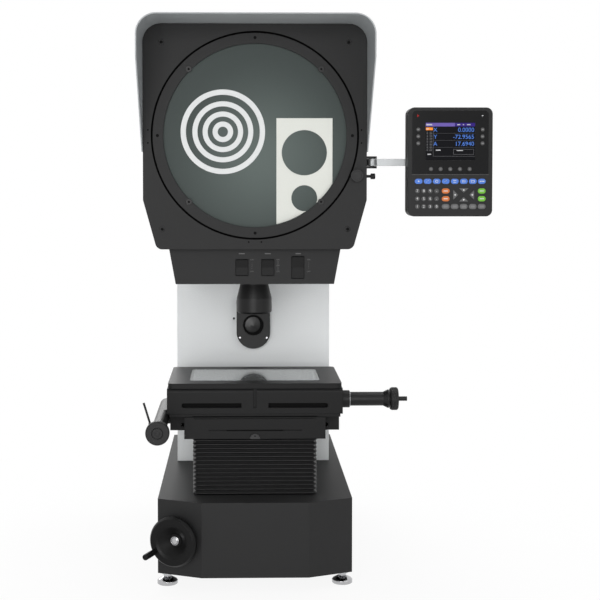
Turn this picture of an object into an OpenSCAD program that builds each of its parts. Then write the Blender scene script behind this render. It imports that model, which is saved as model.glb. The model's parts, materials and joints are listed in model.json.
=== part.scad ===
// Bench-top vertical optical comparator (profile projector).
// Millimetres. X to the right, Y to the back, Z up.
// Heights are given from the bench; the finished pieces are lowered so that
// the origin is the centre of the stage glass, where the optical axis meets the work.

/* [Base] */
// Width of the base casting
base_w = 330; // [310:5:400]
// Depth of the base casting
base_d = 576; // [540:2:640]
// Height of the base casting
base_h = 127; // [110:1:150]
// Front face of the base, in front of the optical axis
base_front = 147; // [140:1:170]
// Width of the flat front face between the two chamfers
base_face_w = 180; // [160:2:200]
// Depth of the two front chamfers
base_chamfer_d = 31; // [20:1:45]
// Wall thickness of the base casting
base_wall = 9; // [6:0.5:12]

/* [Feet] */
// Clear height under the base
foot_gap = 23; // [18:1:32]
// Diameter of a levelling foot
foot_dia = 35; // [28:1:44]
// Diameter of a foot screw
foot_screw_dia = 12; // [8:1:16]

/* [Column] */
// Depth of the column
column_d = 205; // [180:5:230]
// Column front behind the optical axis
column_front = 177; // [165:1:195]
// Wall thickness of the column
column_wall = 8; // [5:0.5:12]

/* [Head] */
// Width of the head
head_w = 376; // [368:2:420]
// Height of the head
head_h = 378; // [372:2:420]
// Height of the head's underside above the bench
head_bottom = 573; // [560:1:600]
// Head front in front of the optical axis
head_front = 118; // [112:1:130]
// Depth of the head behind its front plate
head_d = 500; // [470:5:520]
// Upper corner radius of the head
head_corner_r = 31; // [20:1:40]
// Width of the head at its lower edge
head_foot_w = 330; // [300:2:350]
// Height of the slanted lower part of the head
head_taper_h = 83; // [60:1:100]
// Wall thickness of the head shell
head_wall = 5; // [3:0.5:8]
// Lower corner radius of the head
head_foot_r = 12; // [8:0.5:16]
// Thickness of the front plate
plate_t = 12; // [10:0.5:16]

/* [Screen] */
// Clear diameter of the ground glass screen
screen_dia = 308; // [290:1:312]
// Outer diameter of the rotating screen ring
ring_dia = 343; // [336:1:350]
// Height of the screen centre above the head's underside
screen_rise = 191; // [186:1:196]
// Thickness of the ground glass
screen_t = 4; // [3:0.5:5]
// Diameter of the screen rotation knob
screen_knob_dia = 21; // [16:0.5:23]

/* [Hood] */
// How far the hood stands in front of the head
hood_d = 126; // [90:2:150]
// Sheet thickness of the hood
hood_t = 2; // [1.5:0.5:3]
// Height of the side at which the hood starts to narrow, below the top
hood_full_h = 66; // [50:2:90]
// Height of the hood's sides
hood_h = 214; // [180:2:240]

/* [Control panel] */
// Width of the panel box at its top
panel_top_w = 291; // [280:1:310]
// Width of the panel box at its bottom
panel_bottom_w = 269; // [250:1:280]
// Height of the panel box
panel_h = 60; // [56:1:70]
// Panel front behind the head front
panel_setback = 18; // [12:1:30]
// Wall thickness of the panel box
panel_wall = 5; // [4:0.5:8]
// Width of a small rocker switch
switch_w = 21.5; // [18:0.5:24]
// Height of a small rocker switch
switch_h = 28; // [24:0.5:32]
// Height of the power switch
power_h = 38; // [34:0.5:42]

/* [Optics] */
// Diameter of the objective at its socket
objective_dia = 48; // [40:1:52]
// Largest diameter of the objective
objective_max_dia = 62; // [56:1:66]
// Length of the objective below the panel
objective_len = 59; // [50:1:65]
// Width of the surface light plate
surface_plate_w = 64; // [56:1:72]
// Height of the surface light lens above the bench
surface_lens_z = 413; // [405:1:420]
// Bore of the surface light plate
surface_bore_dia = 39; // [34:1:42]
// Outer diameter of the condenser tube under the stage
condenser_dia = 56; // [48:1:60]

/* [Stage] */
// Height of the glass above the bench
glass_top = 343; // [338:1:348]
// Width of the stage
stage_w = 300; // [296:2:330]
// Depth of the stage
stage_d = 200; // [190:2:210]
// Width of the glass
glass_w = 225; // [210:1:236]
// Depth of the glass
glass_d = 130; // [120:1:140]
// Thickness of the glass
glass_t = 5; // [4:0.5:6]
// Thickness of the stage's top frame
frame_t = 9; // [8:0.5:12]
// Height of the X table under the frame
x_table_h = 43; // [40:0.5:46]
// Width of the lift table
lift_w = 241; // [230:1:250]
// Height of the lift table
lift_h = 37; // [32:0.5:40]
// Sideways travel of the X table
x_travel = 150; // [100:10:150]
// Travel of the Y carriage
y_travel = 50; // [30:5:50]

/* [Handles] */
// Diameter of the X and Y knobs
knob_dia = 39; // [34:1:42]
// Diameter of the X and Y drive tubes
tube_dia = 24; // [20:1:26]
// Diameter of the X and Y drive shafts
drive_shaft_dia = 8; // [6:0.5:10]
// Diameter of the focus handwheel
wheel_dia = 84; // [76:1:92]
// Diameter of the focus shaft
focus_shaft_dia = 14; // [12:0.5:18]

/* [Bellows] */
// Width of the bellows
bellows_w = 213; // [200:1:218]
// Depth of the bellows
bellows_d = 190; // [180:2:196]
// Number of pleats
bellows_pleats = 14; // [10:1:18]
// Depth of a pleat
pleat_d = 5; // [3:0.5:6]

/* [Readout] */
// Width of the digital readout
dro_w = 143; // [130:1:160]
// Height of the digital readout
dro_h = 184; // [170:1:200]
// Thickness of the digital readout
dro_t = 38; // [30:1:50]
// Centre of the readout to the right of the optical axis
dro_x = 330; // [320:1:350]
// Height of the readout arm above the head's underside
arm_rise = 147; // [140:1:155]
// Height of the arm's flat bar
arm_h = 12; // [10:0.5:16]
// Thickness of the arm's flat bar
arm_t = 6; // [5:0.5:8]

/* [Fits] */
// Running clearance on the radius of a shaft in its bore
run_gap = 0.05; // [0.02:0.01:0.08]
// Clearance between pieces that move past each other
slide_gap = 0.4; // [0.3:0.1:0.8]

/* [Hidden] */
$fn = 64;
eps = 0.01;
touch_gap = 0.2;
base_top = foot_gap + base_h;
base_rear = base_d - base_front;
head_top = head_bottom + head_h;
head_rear = head_d - head_front + plate_t;
screen_z = head_bottom + screen_rise;
panel_bottom = head_bottom - panel_h;
panel_front = panel_setback - head_front;
column_w = panel_top_w;
light_hole_r = 33;
// stage stack, from the glass down
carriage_t = 5;
carriage_inset = 4;
skirt_back = 30;
skirt_short = 9;
carriage_w = stage_w - 2 * carriage_inset;
frame_bottom = glass_top - frame_t;
x_bottom = frame_bottom - x_table_h;
carriage_top = x_bottom - slide_gap;
carriage_bottom = carriage_top - carriage_t;
lift_top = carriage_bottom - slide_gap;
lift_bottom = lift_top - lift_h;
light_gate = condenser_dia + 8;
rail_w = 8;
rail_h = 8;
rail_y = 72;
shoulder_r = 6;
frame_inset = 1.5;
slot_w = 102;
slot_h = 8;
slot_x = 74;
slot_d = 6;
lift_key_r = 9;
lift_key_t = 2;
// screen ring
ring_r = ring_dia / 2;
ring_groove = 1;
flange_r = ring_r + 6;
flange_t = 3.6;
counterbore = 4;
ring_lip = 4;
ring_front = head_front + 1;
glass_y = -head_front + 5;
knob_drop = 67;
roller_r = 6;
knob_shaft_r = 4;
knob_off = sqrt(pow(flange_r + roller_r + touch_gap, 2) - knob_drop * knob_drop);
// levelling feet and base cover
cover_t = 4;
foot_thread = 30;
nut_h = 6;
hood_lap = 20;
surface_screw_x = -37;
// focus drive
wheel_z = 87;
screw_r = 9;
post_r = 11;
post_x = 70;
post_y = 60;
screw_x = 70;
screw_y = 7.61;
chamfer_turn = atan2(base_chamfer_d, (base_w - base_face_w) / 2);
// the shaft stands square on the chamfer, where its line through the screw meets it
chamfer_run = (screw_x - base_face_w / 2) * cos(chamfer_turn) + (screw_y + base_front) * sin(chamfer_turn);
chamfer_x = base_face_w / 2 + chamfer_run * cos(chamfer_turn);
chamfer_y = -base_front + chamfer_run * sin(chamfer_turn);
lift_down = 30;
sleeve_len = 60;
sleeve_wall = 4;
post_top = lift_top - lift_down - 2;
// switches
switch_z = panel_bottom + 28;
contour_x = -22;
surface_x = 22;
power_x = 73;
switch_pin_r = 1.5;
switch_pin_len = 3;
// light path
first_mirror_z = head_bottom + 39;
first_mirror_w = 60;
first_mirror_h = 70;
main_mirror_y = 270;
main_mirror_w = 220;
main_mirror_h = 220;
mirror_t = 6;
fold = atan2(screen_z - first_mirror_z, main_mirror_y);
wedge_top = 20;
wedge_inset = 20;
wedge_w = 60;
mirror_cheek_t = 4;
objective_bore = 17;
surface_plate_t = 14;
surface_plate_h = 60;
surface_plate_drop = 13;
surface_lens_seat = 6;
condenser_h = 85;
condenser_wall = 5;
condenser_lip = 3;
condenser_seat = 8;
condenser_top = base_top + condenser_h;
clip_t = 1;
// X and Y drives
x_drive_rise = 17;
x_drive_z = x_bottom + x_drive_rise;
x_drive_y = -50;
y_drive_z = carriage_bottom - 8;
y_drive_x = carriage_w / 2 + tube_dia / 2 + 2;
tube_len = 54;
knob_len = 16;
y_tube_front = -stage_d / 2 - 85;
side_rail = 6;
shaft_len = 80;
y_tube_back = 70;
lever_pin_r = 3;
lever_pin_len = 5;
lever_seat = 1;
lever_gap = 30;
lever_y = -stage_d / 2 - lever_gap;
lever_len = 40;
lever_lean = 17;
// focus wheel
wheel_off = 8;
focus_shaft_len = 100;
grip_pin_r = 2.5;
grip_len = 37;
wheel_t = 23.5;
wheel_hub = 8;
shaft_out = 12;
rim_w = 16.5;
grip_angle = 30;
// readout
thumb_r = 2.5;
display_x = 0;
display_z = 35;
display_w = 84;
display_h = 63;
arm_z = head_bottom + arm_rise;
dro_front = -head_front + 8;
dro_back = dro_front + dro_t;
dro_r = 11;
bezel_t = 4;
bracket_t = 4;
pivot_x = head_w / 2 + 14;
pivot_y = dro_back + 12;
pivot_r = 4;
eye_r = 9;
tilt_r = 6;
lug_w = 30;
screw_drop = 24;
// readout keys, from the centre of the case
key_h = 0.8;
pill_w = 13;
pill_h = 8.8;
pill_r = 4.3;
pill_pitch = 15.3;
upper_row_z = -32.6;
digit_x = -55.6;
digit_z = -48.9;
digit_r = 3.9;
digit_pitch = 10.87;
row_pitch = 13.15;
soft_pitch = 16.4;
soft_z = -11.9;
soft_r = 3.5;
side_x = 54.4;
side_z = 54.8;
side_r = 3.3;
side_pitch = 11.65;
arrow_half = 8;
arrow_shift = 6;
arrow_out = 11;
arrow_in = 3.5;

// Moves a piece from bench heights to the part's frame
module framed() {
  translate([0, 0, -glass_top]) children();
}

// Rectangle with true round corners, centred
module round_rect(w, h, r) {
  square([w - 2 * r, h], center = true);
  square([w, h - 2 * r], center = true);
  for (sx = [-1, 1], sy = [-1, 1])
    translate([sx * (w / 2 - r), sy * (h / 2 - r)]) circle(r);
}

// Stands an outline drawn in X and Z upright: from y0 towards the back by depth
module upright(y0, depth) {
  translate([0, y0 + depth, 0]) rotate([90, 0, 0]) linear_extrude(depth) children();
}

// Sweeps a side outline drawn in Y and Z across the width
module across(w) {
  rotate([90, 0, 90]) linear_extrude(w, center = true) children();
}

// Cylinder along Y
module rod_y(r, y0, y1) {
  translate([0, y1, 0]) rotate([90, 0, 0]) cylinder(r = r, h = y1 - y0);
}

// Cylinder along X
module rod_x(r, x0, x1) {
  translate([x0, 0, 0]) rotate([0, 90, 0]) cylinder(r = r, h = x1 - x0);
}

// Outline of the base seen from above, drawn in by a wall
module base_outline(inset) {
  hw = base_w / 2 - inset;
  fw = base_face_w / 2 - inset * tan(chamfer_turn / 2);
  polygon([
    [-fw, -base_front + inset], [fw, -base_front + inset],
    [hw, -base_front + base_chamfer_d + inset * tan(45 - chamfer_turn / 2) * sin(chamfer_turn)],
    [hw, base_rear - inset], [-hw, base_rear - inset],
    [-hw, -base_front + base_chamfer_d + inset * tan(45 - chamfer_turn / 2) * sin(chamfer_turn)]
  ]);
}

// Outline of the head seen from the front, drawn in by a wall
module head_outline(inset) {
  hw = head_w / 2 - inset;
  fw = head_foot_w / 2 - inset;
  r = head_corner_r - inset;
  top = head_h - inset;
  foot_r = head_foot_r - inset;
  slant = atan2(head_taper_h - inset, hw - fw);
  // length of each straight edge that a lower corner's arc takes up
  cut = foot_r * tan(slant / 2);
  translate([0, head_bottom]) {
    difference() {
      polygon([[-fw, inset], [fw, inset], [hw, head_taper_h], [hw, top], [-hw, top], [-hw, head_taper_h]]);
      for (s = [-1, 1]) {
        translate([s * (hw - r / 2 + 1), top - r / 2 + 1]) square([r + 2, r + 2], center = true);
        polygon([
          [s * (fw - cut), inset], [s * (fw + cut * cos(slant)), inset + cut * sin(slant)],
          [s * (fw + 2 * cut), inset], [s * (fw + cut), inset - cut], [s * (fw - cut), inset - cut]
        ]);
      }
    }
    for (s = [-1, 1]) {
      translate([s * (hw - r), top - r]) circle(r);
      translate([s * (fw - cut), inset + foot_r]) circle(foot_r);
    }
  }
}

// Side outline of the head, with its sloping back, drawn in by a wall
module head_side(inset) {
  y0 = -head_front + plate_t;
  slope_y = 190;
  slope_z = 161;
  polygon([
    [y0 - 1, head_bottom + inset], [head_rear - inset, head_bottom + inset],
    [head_rear - inset, head_top - slope_z - inset / 2], [slope_y - inset / 2, head_top - inset],
    [y0 - 1, head_top - inset]
  ]);
}

// Foot positions: side is -1 or 1, row is 0 at the front and 1 at the back
module at_foot(side, row) {
  inset = foot_dia / 2 - 2;
  front_y = -base_front + base_chamfer_d + foot_dia / 2;
  translate([side * (base_w / 2 - inset), row == 0 ? front_y : base_rear - inset, 0]) children();
}

// Stands pieces on the left chamfer: local -Y points out of the chamfer face
module at_chamfer() {
  translate([-chamfer_x, chamfer_y, wheel_z]) rotate([0, 0, -chamfer_turn]) children();
}

module base_casting() {
  color("#2e2e2f") framed() difference() {
    union() {
      difference() {
        translate([0, 0, foot_gap]) linear_extrude(base_h) base_outline(0);
        translate([0, 0, foot_gap - eps]) linear_extrude(base_h - base_wall) base_outline(base_wall);
      }
      for (side = [-1, 1], row = [0, 1])
        at_foot(side, row) translate([0, 0, foot_gap + cover_t])
          cylinder(r = foot_screw_dia - 1, h = base_h - cover_t - 1);
    }
    translate([0, 0, foot_gap]) cylinder(r = condenser_dia / 2 - base_wall, h = base_h + 1);
    for (s = [-1, 1])
      translate([s * post_x, post_y, foot_gap]) cylinder(r = post_r, h = base_h + 1);
    translate([-screw_x, screw_y, foot_gap]) cylinder(r = screw_r + run_gap, h = base_h + 1);
    at_chamfer() rod_y(focus_shaft_dia / 2 + run_gap, -base_wall * 2, base_wall * 4);
    for (side = [-1, 1], row = [0, 1])
      at_foot(side, row) translate([0, 0, foot_gap - 1])
        cylinder(r = foot_screw_dia / 2 + run_gap, h = foot_thread + 1);
  }
}

module base_cover() {
  color("#3a3a3b") framed() difference() {
    translate([0, 0, foot_gap]) linear_extrude(cover_t) base_outline(base_wall + touch_gap);
    for (side = [-1, 1], row = [0, 1])
      at_foot(side, row) translate([0, 0, foot_gap - 1]) cylinder(r = 1.5 * foot_screw_dia, h = cover_t + 2);
  }
}

// Levelling foot: a round pad turned on the end of its screw
module foot(side, row) {
  pad_r = foot_dia / 2;
  screw = foot_screw_dia / 2;
  color("#c8c9ca") framed() at_foot(side, row) rotate_extrude()
    polygon([
      [0, 0], [pad_r - 1, 0], [pad_r, 1], [pad_r, 6], [pad_r - 2, 8],
      [screw + 4, 11], [screw, 13], [screw, foot_gap + foot_thread - 3], [0, foot_gap + foot_thread - 3]
    ]);
}

module foot_fl() { foot(-1, 0); }
module foot_fr() { foot(1, 0); }
module foot_rl() { foot(-1, 1); }
module foot_rr() { foot(1, 1); }

module foot_nuts() {
  color("#b9babc") framed() for (side = [-1, 1], row = [0, 1])
    at_foot(side, row) translate([0, 0, foot_gap - nut_h]) difference() {
      cylinder(r = foot_screw_dia * 0.9, h = nut_h, $fn = 6);
      translate([0, 0, -1]) cylinder(r = foot_screw_dia / 2 + run_gap, h = nut_h + 2);
    }
}

module column() {
  color("#c9cccd") framed() difference() {
    translate([-column_w / 2, column_front, base_top]) cube([column_w, column_d, head_bottom - base_top]);
    translate([-column_w / 2 + column_wall, column_front + column_wall, base_top + column_wall])
      cube([column_w - 2 * column_wall, column_d, head_bottom - base_top - 2 * column_wall]);
    translate([surface_screw_x, column_front - 1, surface_lens_z + 10]) rod_y(2, 0, column_wall / 2);
  }
}

module column_cover() {
  vent_w = 120;
  vent_h = 5;
  vent_pitch = 14;
  color("#c9cccd") framed() difference() {
    translate([0, 0, (base_top + head_bottom) / 2])
      upright(column_front + column_d, 3) round_rect(column_w - 12, head_bottom - base_top - 12, 8);
    for (k = [0 : 7])
      translate([0, 0, base_top + 60 + k * vent_pitch])
        upright(column_front + column_d - 1, 5) round_rect(vent_w, vent_h, vent_h / 2 - 0.1);
  }
}

module head_shell() {
  y0 = -head_front + plate_t;
  color("#333334") framed() difference() {
    intersection() {
      upright(y0, head_d) head_outline(0);
      across(head_w + 2) head_side(0);
    }
    intersection() {
      upright(y0 - 1, head_d) head_outline(head_wall);
      across(head_w + 2) head_side(head_wall);
    }
    translate([0, 0, head_bottom - 1]) cylinder(r = light_hole_r, h = head_wall + 2);
  }
}

module front_plate() {
  color("#333334") framed() difference() {
    upright(-head_front, plate_t) head_outline(0);
    translate([0, 0, screen_z]) rod_y(ring_r + ring_groove, -head_front - 1, -head_front + plate_t + 1);
    translate([0, 0, screen_z])
      rod_y(flange_r + run_gap, -head_front + plate_t - counterbore, -head_front + plate_t + 1);
    at_screen_knob() {
      rod_y(knob_shaft_r + run_gap, -head_front - 1, -head_front + plate_t + 1);
      rod_y(roller_r + 0.5, -head_front + plate_t - counterbore, -head_front + plate_t + 1);
    }
    at_plate_screws() rod_y(4.5, -head_front - 1, -head_front + 3);
  }
}

// Axis of the screen rotation knob, low on the right of the ring
module at_screen_knob() {
  translate([knob_off, 0, screen_z - knob_drop]) children();
}

module at_plate_screws() {
  for (s = [-1, 1]) {
    translate([s * (head_w / 2 - 31), 0, head_top - 31]) children();
    translate([s * (head_foot_w / 2 - 9), 0, head_bottom + 34]) children();
  }
}

module plate_screws() {
  color("#1c1c1d") framed() at_plate_screws() difference() {
    rod_y(4.2, -head_front + 0.6, -head_front + 3);
    translate([0, -head_front + 1, 0]) rotate([90, 0, 0]) cylinder(r = 2.2, h = 2, $fn = 6);
  }
}

module ring_retainer() {
  y0 = -head_front + plate_t;
  color("#3b3b3c") framed() difference() {
    translate([0, 0, screen_z]) rod_y(flange_r + 4, y0, y0 + 4);
    translate([0, 0, screen_z]) rod_y(ring_r - 4, y0 - 1, y0 + 5);
  }
}

module hood() {
  y0 = -head_front - hood_d;
  color("#6d7072") framed() intersection() {
    difference() {
      upright(y0, hood_d + hood_lap) head_outline(-hood_t - touch_gap);
      upright(y0 - 1, hood_d + hood_lap + 2) head_outline(-touch_gap);
    }
    across(head_w + 20) polygon([
      [y0, head_top + 10], [-head_front + hood_lap, head_top + 10],
      [-head_front + hood_lap, head_top - hood_h],
      [-head_front, head_top - hood_h], [y0, head_top - hood_full_h]
    ]);
  }
}

// Front outline of the panel box, drawn in by a wall
module panel_outline(inset) {
  polygon([
    [-panel_bottom_w / 2 + inset, panel_bottom + inset], [panel_bottom_w / 2 - inset, panel_bottom + inset],
    [panel_top_w / 2 - inset, head_bottom], [-panel_top_w / 2 + inset, head_bottom]
  ]);
}

// Pivot axis of a rocker switch
module at_switch(x) {
  translate([x, panel_front + panel_wall / 2, switch_z]) children();
}

module switch_cut(x, w, h) {
  at_switch(x) {
    cube([w, 3 * panel_wall, h], center = true);
    rod_x(switch_pin_r + run_gap, -w / 2 - switch_pin_len, w / 2 + switch_pin_len);
  }
}

module panel_box() {
  color("#323233") framed() difference() {
    upright(panel_front, column_front - panel_front) panel_outline(0);
    upright(panel_front + panel_wall, column_front - panel_front - 2 * panel_wall) panel_outline(panel_wall);
    translate([0, 0, panel_bottom - 1]) cylinder(r = objective_dia / 2, h = panel_wall + 2);
    switch_cut(contour_x, switch_w, switch_h);
    switch_cut(surface_x, switch_w, switch_h);
    switch_cut(power_x, switch_w, power_h);
  }
}

// Rocker with a dished face, on two stub pins
module rocker(x, w, h) {
  hw = w / 2 - slide_gap;
  hh = h / 2 - 2 * slide_gap;
  color("#1d1d1e") framed() at_switch(x) {
    across(2 * hw) polygon([
      [panel_wall, -hh * 0.8], [-panel_wall / 2 - 2, -hh], [-panel_wall / 2 - 0.6, 0],
      [-panel_wall / 2 - 2, hh], [panel_wall, hh * 0.8]
    ]);
    rod_x(switch_pin_r, -hw - switch_pin_len + slide_gap, hw + switch_pin_len - slide_gap);
  }
}

module rocker_contour() { rocker(contour_x, switch_w, switch_h); }
module rocker_surface() { rocker(surface_x, switch_w, switch_h); }
module rocker_power() { rocker(power_x, switch_w, power_h); }

// Turns a mirror plate about X so that it faces along the folded light path
module at_first_mirror() {
  translate([0, 0, first_mirror_z]) rotate([45 + fold / 2, 0, 0]) children();
}

module at_main_mirror() {
  translate([0, main_mirror_y, screen_z]) rotate([fold / 2 - 90, 0, 0]) children();
}

module first_mirror() {
  color("#aab4bb") framed() at_first_mirror()
    translate([-first_mirror_w / 2, -first_mirror_h / 2, 0]) cube([first_mirror_w, first_mirror_h, mirror_t]);
}

module mirror_cheeks() {
  half = first_mirror_h / 2;
  color("#4a4a4b") framed() for (s = [-1, 1])
    translate([s * (first_mirror_w + mirror_cheek_t) / 2, 0, 0]) across(mirror_cheek_t) polygon([
      [-half, head_bottom + head_wall], [half, head_bottom + head_wall],
      [half, first_mirror_z + half * 0.8], [-half, first_mirror_z + half * 0.8]
    ]);
}

module main_mirror() {
  color("#aab4bb") framed() at_main_mirror()
    translate([-main_mirror_w / 2, -main_mirror_h / 2, 0]) cube([main_mirror_w, main_mirror_h, mirror_t]);
}

// Wedge between the main mirror's back and the rear wall of the head
module mirror_wedge() {
  rear = head_rear - head_wall;
  half = main_mirror_h / 2 - wedge_inset;
  lean = tan(fold / 2);
  back = main_mirror_y + mirror_t / cos(fold / 2);
  color("#4a4a4b") framed() translate([0, 0, screen_z]) across(wedge_w) polygon([
    [back + half * lean, -half], [rear, -half], [rear, wedge_top], [back - wedge_top * lean, wedge_top]
  ]);
}

module objective() {
  r0 = objective_dia / 2;
  r1 = objective_max_dia / 2;
  bottom = panel_bottom - objective_len;
  color("#1b1b1c") framed() rotate_extrude() polygon([
    [objective_bore, bottom], [r1 - 3, bottom], [r1, bottom + 3], [r1, bottom + objective_len * 0.45],
    [r0 + 1, panel_bottom - 8], [r0 + 1, panel_bottom], [r0, panel_bottom],
    [r0, panel_bottom + panel_wall + 4],
    [objective_bore, panel_bottom + panel_wall + 4]
  ]);
}

module objective_lens() {
  bottom = panel_bottom - objective_len;
  color("#8fa6b4") framed() rotate_extrude() polygon([
    [0, bottom + 2], [objective_bore, bottom + 4], [objective_bore, bottom + 10], [0, bottom + 10]
  ]);
}

// Round-ended plate on the column front, with the surface light's lens in it
module surface_plate() {
  r = surface_plate_w / 2;
  color("#1f1f20") framed() difference() {
    translate([0, 0, surface_lens_z]) {
      translate([0, 0, -surface_plate_drop]) rod_y(r, column_front - surface_plate_t, column_front);
      translate([-r, column_front - surface_plate_t, -surface_plate_drop])
        cube([surface_plate_w, surface_plate_t, surface_plate_h]);
    }
    translate([0, 0, surface_lens_z])
      rod_y(surface_bore_dia / 2, column_front - surface_plate_t - 1, column_front - surface_lens_seat);
  }
}

module surface_lens() {
  r = surface_bore_dia / 2;
  color("#39424a") framed() translate([0, column_front - surface_lens_seat, surface_lens_z])
    rotate([90, 0, 0]) rotate_extrude()
    polygon([[0, 0], [r - touch_gap, 0], [r - touch_gap, 2], [r - 4, 4], [0, 6]]);
}

module condenser_tube() {
  r = condenser_dia / 2;
  color("#2a2a2b") framed() rotate_extrude() polygon([
    [r - condenser_wall, base_top], [r, base_top], [r, condenser_top], [r - condenser_lip, condenser_top],
    [r - condenser_lip, condenser_top - condenser_seat], [r - condenser_wall, condenser_top - condenser_seat]
  ]);
}

module condenser_lens() {
  r = condenser_dia / 2 - condenser_lip - touch_gap;
  seat = condenser_top - condenser_seat;
  color("#a9bcc6") framed() rotate_extrude() polygon([
    [0, seat], [r, seat], [r, seat + condenser_seat * 0.4], [r * 0.6, seat + condenser_seat * 0.8],
    [0, condenser_top]
  ]);
}

module guide_posts() {
  color("#b8babc") framed() for (s = [-1, 1])
    translate([s * post_x, post_y, foot_gap + cover_t])
      cylinder(r = post_r, h = post_top - foot_gap - cover_t);
}

module screen_ring() {
  front = -ring_front;
  rear = -head_front + plate_t - touch_gap;
  color("#2d2d2e") framed() translate([0, 0, screen_z]) difference() {
    union() {
      rod_y(ring_r, front, rear);
      rod_y(flange_r, rear - flange_t, rear);
    }
    rod_y(screen_dia / 2, front - 1, rear + 1);
    rod_y(screen_dia / 2 + ring_lip, glass_y, rear + 1);
  }
}

module screen_glass() {
  color("#3f4f4c") framed() translate([0, 0, screen_z])
    rod_y(screen_dia / 2 + ring_lip, glass_y, glass_y + screen_t);
}

// Four small clamps round the ring, at the diagonals
module screen_clips() {
  color("#1e1e1f") framed() translate([0, 0, screen_z]) for (a = [45 : 90 : 315]) rotate([0, a, 0])
    translate([screen_dia / 2 + 3, 0, 0]) rod_y(5.5, -ring_front - clip_t, -ring_front);
}

module screen_knob() {
  r = screen_knob_dia / 2;
  front = -head_front - touch_gap;
  color("#242425") framed() at_screen_knob() {
    difference() {
      rod_y(r, front - 9, front);
      rod_y(r - 3, front - 10, front - 7.5);
    }
    rod_y(knob_shaft_r, front - 1, -head_front + plate_t - touch_gap);
  }
}

module drive_roller() {
  rear = -head_front + plate_t - touch_gap;
  color("#5a5a5b") framed() at_screen_knob() difference() {
    rod_y(roller_r, rear - flange_t, rear);
    rod_y(knob_shaft_r, rear - flange_t - 1, rear + 1);
  }
}

// Half-round key on the front of the lift table
module lift_key() {
  difference() {
    rod_y(lift_key_r, -stage_d / 2 - lift_key_t, -stage_d / 2 + 1);
    translate([-2 * lift_key_r, -stage_d, -2 * lift_key_r]) cube([4 * lift_key_r, stage_d, 2 * lift_key_r]);
  }
}

module lift_table() {
  color("#2c2c2d") framed() difference() {
    union() {
      translate([-lift_w / 2, -stage_d / 2, lift_bottom]) cube([lift_w, stage_d, lift_h]);
      translate([0, 0, lift_bottom]) lift_key();
    }
    translate([0, 0, lift_bottom - 1]) cylinder(r = light_gate / 2, h = lift_h + 2);
    for (s = [-1, 1])
      translate([s * post_x, post_y, lift_bottom - 1]) cylinder(r = post_r + sleeve_wall, h = lift_h + 2);
    translate([-screw_x, screw_y, lift_bottom - 1]) cylinder(r = screw_r + sleeve_wall, h = lift_h + 2);
    translate([-lift_w * 0.43, -stage_d / 2 - 1, lift_top - 3]) cube([lift_w * 0.86, 3, 1.5]);
    translate([-lift_w * 0.33, -stage_d / 2 - 1, lift_bottom + 14]) cube([lift_w * 0.66, 3, 1.5]);
  }
}

// Sleeve that hangs below the lift table
module sleeve(bore) {
  translate([0, 0, lift_bottom - sleeve_len]) difference() {
    cylinder(r = bore + sleeve_wall, h = sleeve_len + lift_h);
    translate([0, 0, -1]) cylinder(r = bore + run_gap, h = sleeve_len + lift_h + 2);
  }
}

module lift_bushes() {
  color("#a8894f") framed() for (s = [-1, 1])
    translate([s * post_x, post_y, 0]) sleeve(post_r);
}

module lift_nut() {
  color("#a8894f") framed() translate([-screw_x, screw_y, 0]) sleeve(screw_r);
}

module lift_screw() {
  color("#9b9da0") framed() translate([-screw_x, screw_y, foot_gap + cover_t])
    cylinder(r = screw_r, h = post_top - foot_gap - cover_t);
}

module y_rails() {
  color("#8d8f92") framed() for (s = [-1, 1])
    translate([s * (lift_w / 2 + side_rail / 2), 0, lift_bottom + lift_h / 2])
      cube([side_rail, stage_d - 2 * skirt_back - 20, side_rail], center = true);
}

// Zigzag outline of the bellows, with a fold at every half pitch
module pleat_outline(w) {
  pitch = (lift_bottom - base_top) / bellows_pleats;
  right = [for (k = [0 : 2 * bellows_pleats]) [w / 2 - (k % 2 == 0 ? pleat_d : 0), base_top + k * pitch / 2]];
  left = [for (k = [2 * bellows_pleats : -1 : 0]) [-right[k][0], right[k][1]]];
  polygon(concat(right, left));
}

module bellows() {
  inner_w = bellows_w - 2 * pleat_d - 4;
  inner_d = bellows_d - 2 * pleat_d - 4;
  color("#1a1a1b") framed() difference() {
    intersection() {
      upright(-bellows_d / 2 - 1, bellows_d + 2) pleat_outline(bellows_w);
      across(bellows_w + 2) pleat_outline(bellows_d);
    }
    translate([-inner_w / 2, -inner_d / 2, base_top - 1])
      cube([inner_w, inner_d, lift_bottom - base_top + 2]);
  }
}

module y_carriage() {
  front = -stage_d / 2 + skirt_back;
  depth = stage_d / 2 - front;
  plate_front = -stage_d / 2 + frame_inset;
  gate_y = light_gate + y_travel;
  skirt_in = lift_w / 2 + slide_gap;
  skirt_h = lift_h - skirt_short;
  color("#2a2a2b") framed() difference() {
    union() {
      translate([-carriage_w / 2, plate_front, carriage_bottom])
        cube([carriage_w, stage_d / 2 - plate_front, carriage_t]);
      for (s = [-1, 1])
        translate([s * (skirt_in + carriage_w / 2) / 2, front + depth / 2, carriage_bottom - skirt_h / 2 + 1])
          cube([carriage_w / 2 - skirt_in, depth, skirt_h + 2], center = true);
    }
    translate([0, 0, carriage_bottom]) cube([light_gate + 4, gate_y, 4 * carriage_t], center = true);
    for (s = [-1, 1])
      translate([s * (lift_w / 2 + side_rail / 2), 0, lift_bottom + lift_h / 2])
        cube([side_rail + 2 * slide_gap, 2 * stage_d, side_rail + 2 * slide_gap], center = true);
  }
}

module x_rails() {
  color("#8d8f92") framed() for (s = [-1, 1])
    translate([0, s * rail_y, carriage_top + rail_h / 2]) cube([stage_w - 20, rail_w, rail_h], center = true);
}

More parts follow.
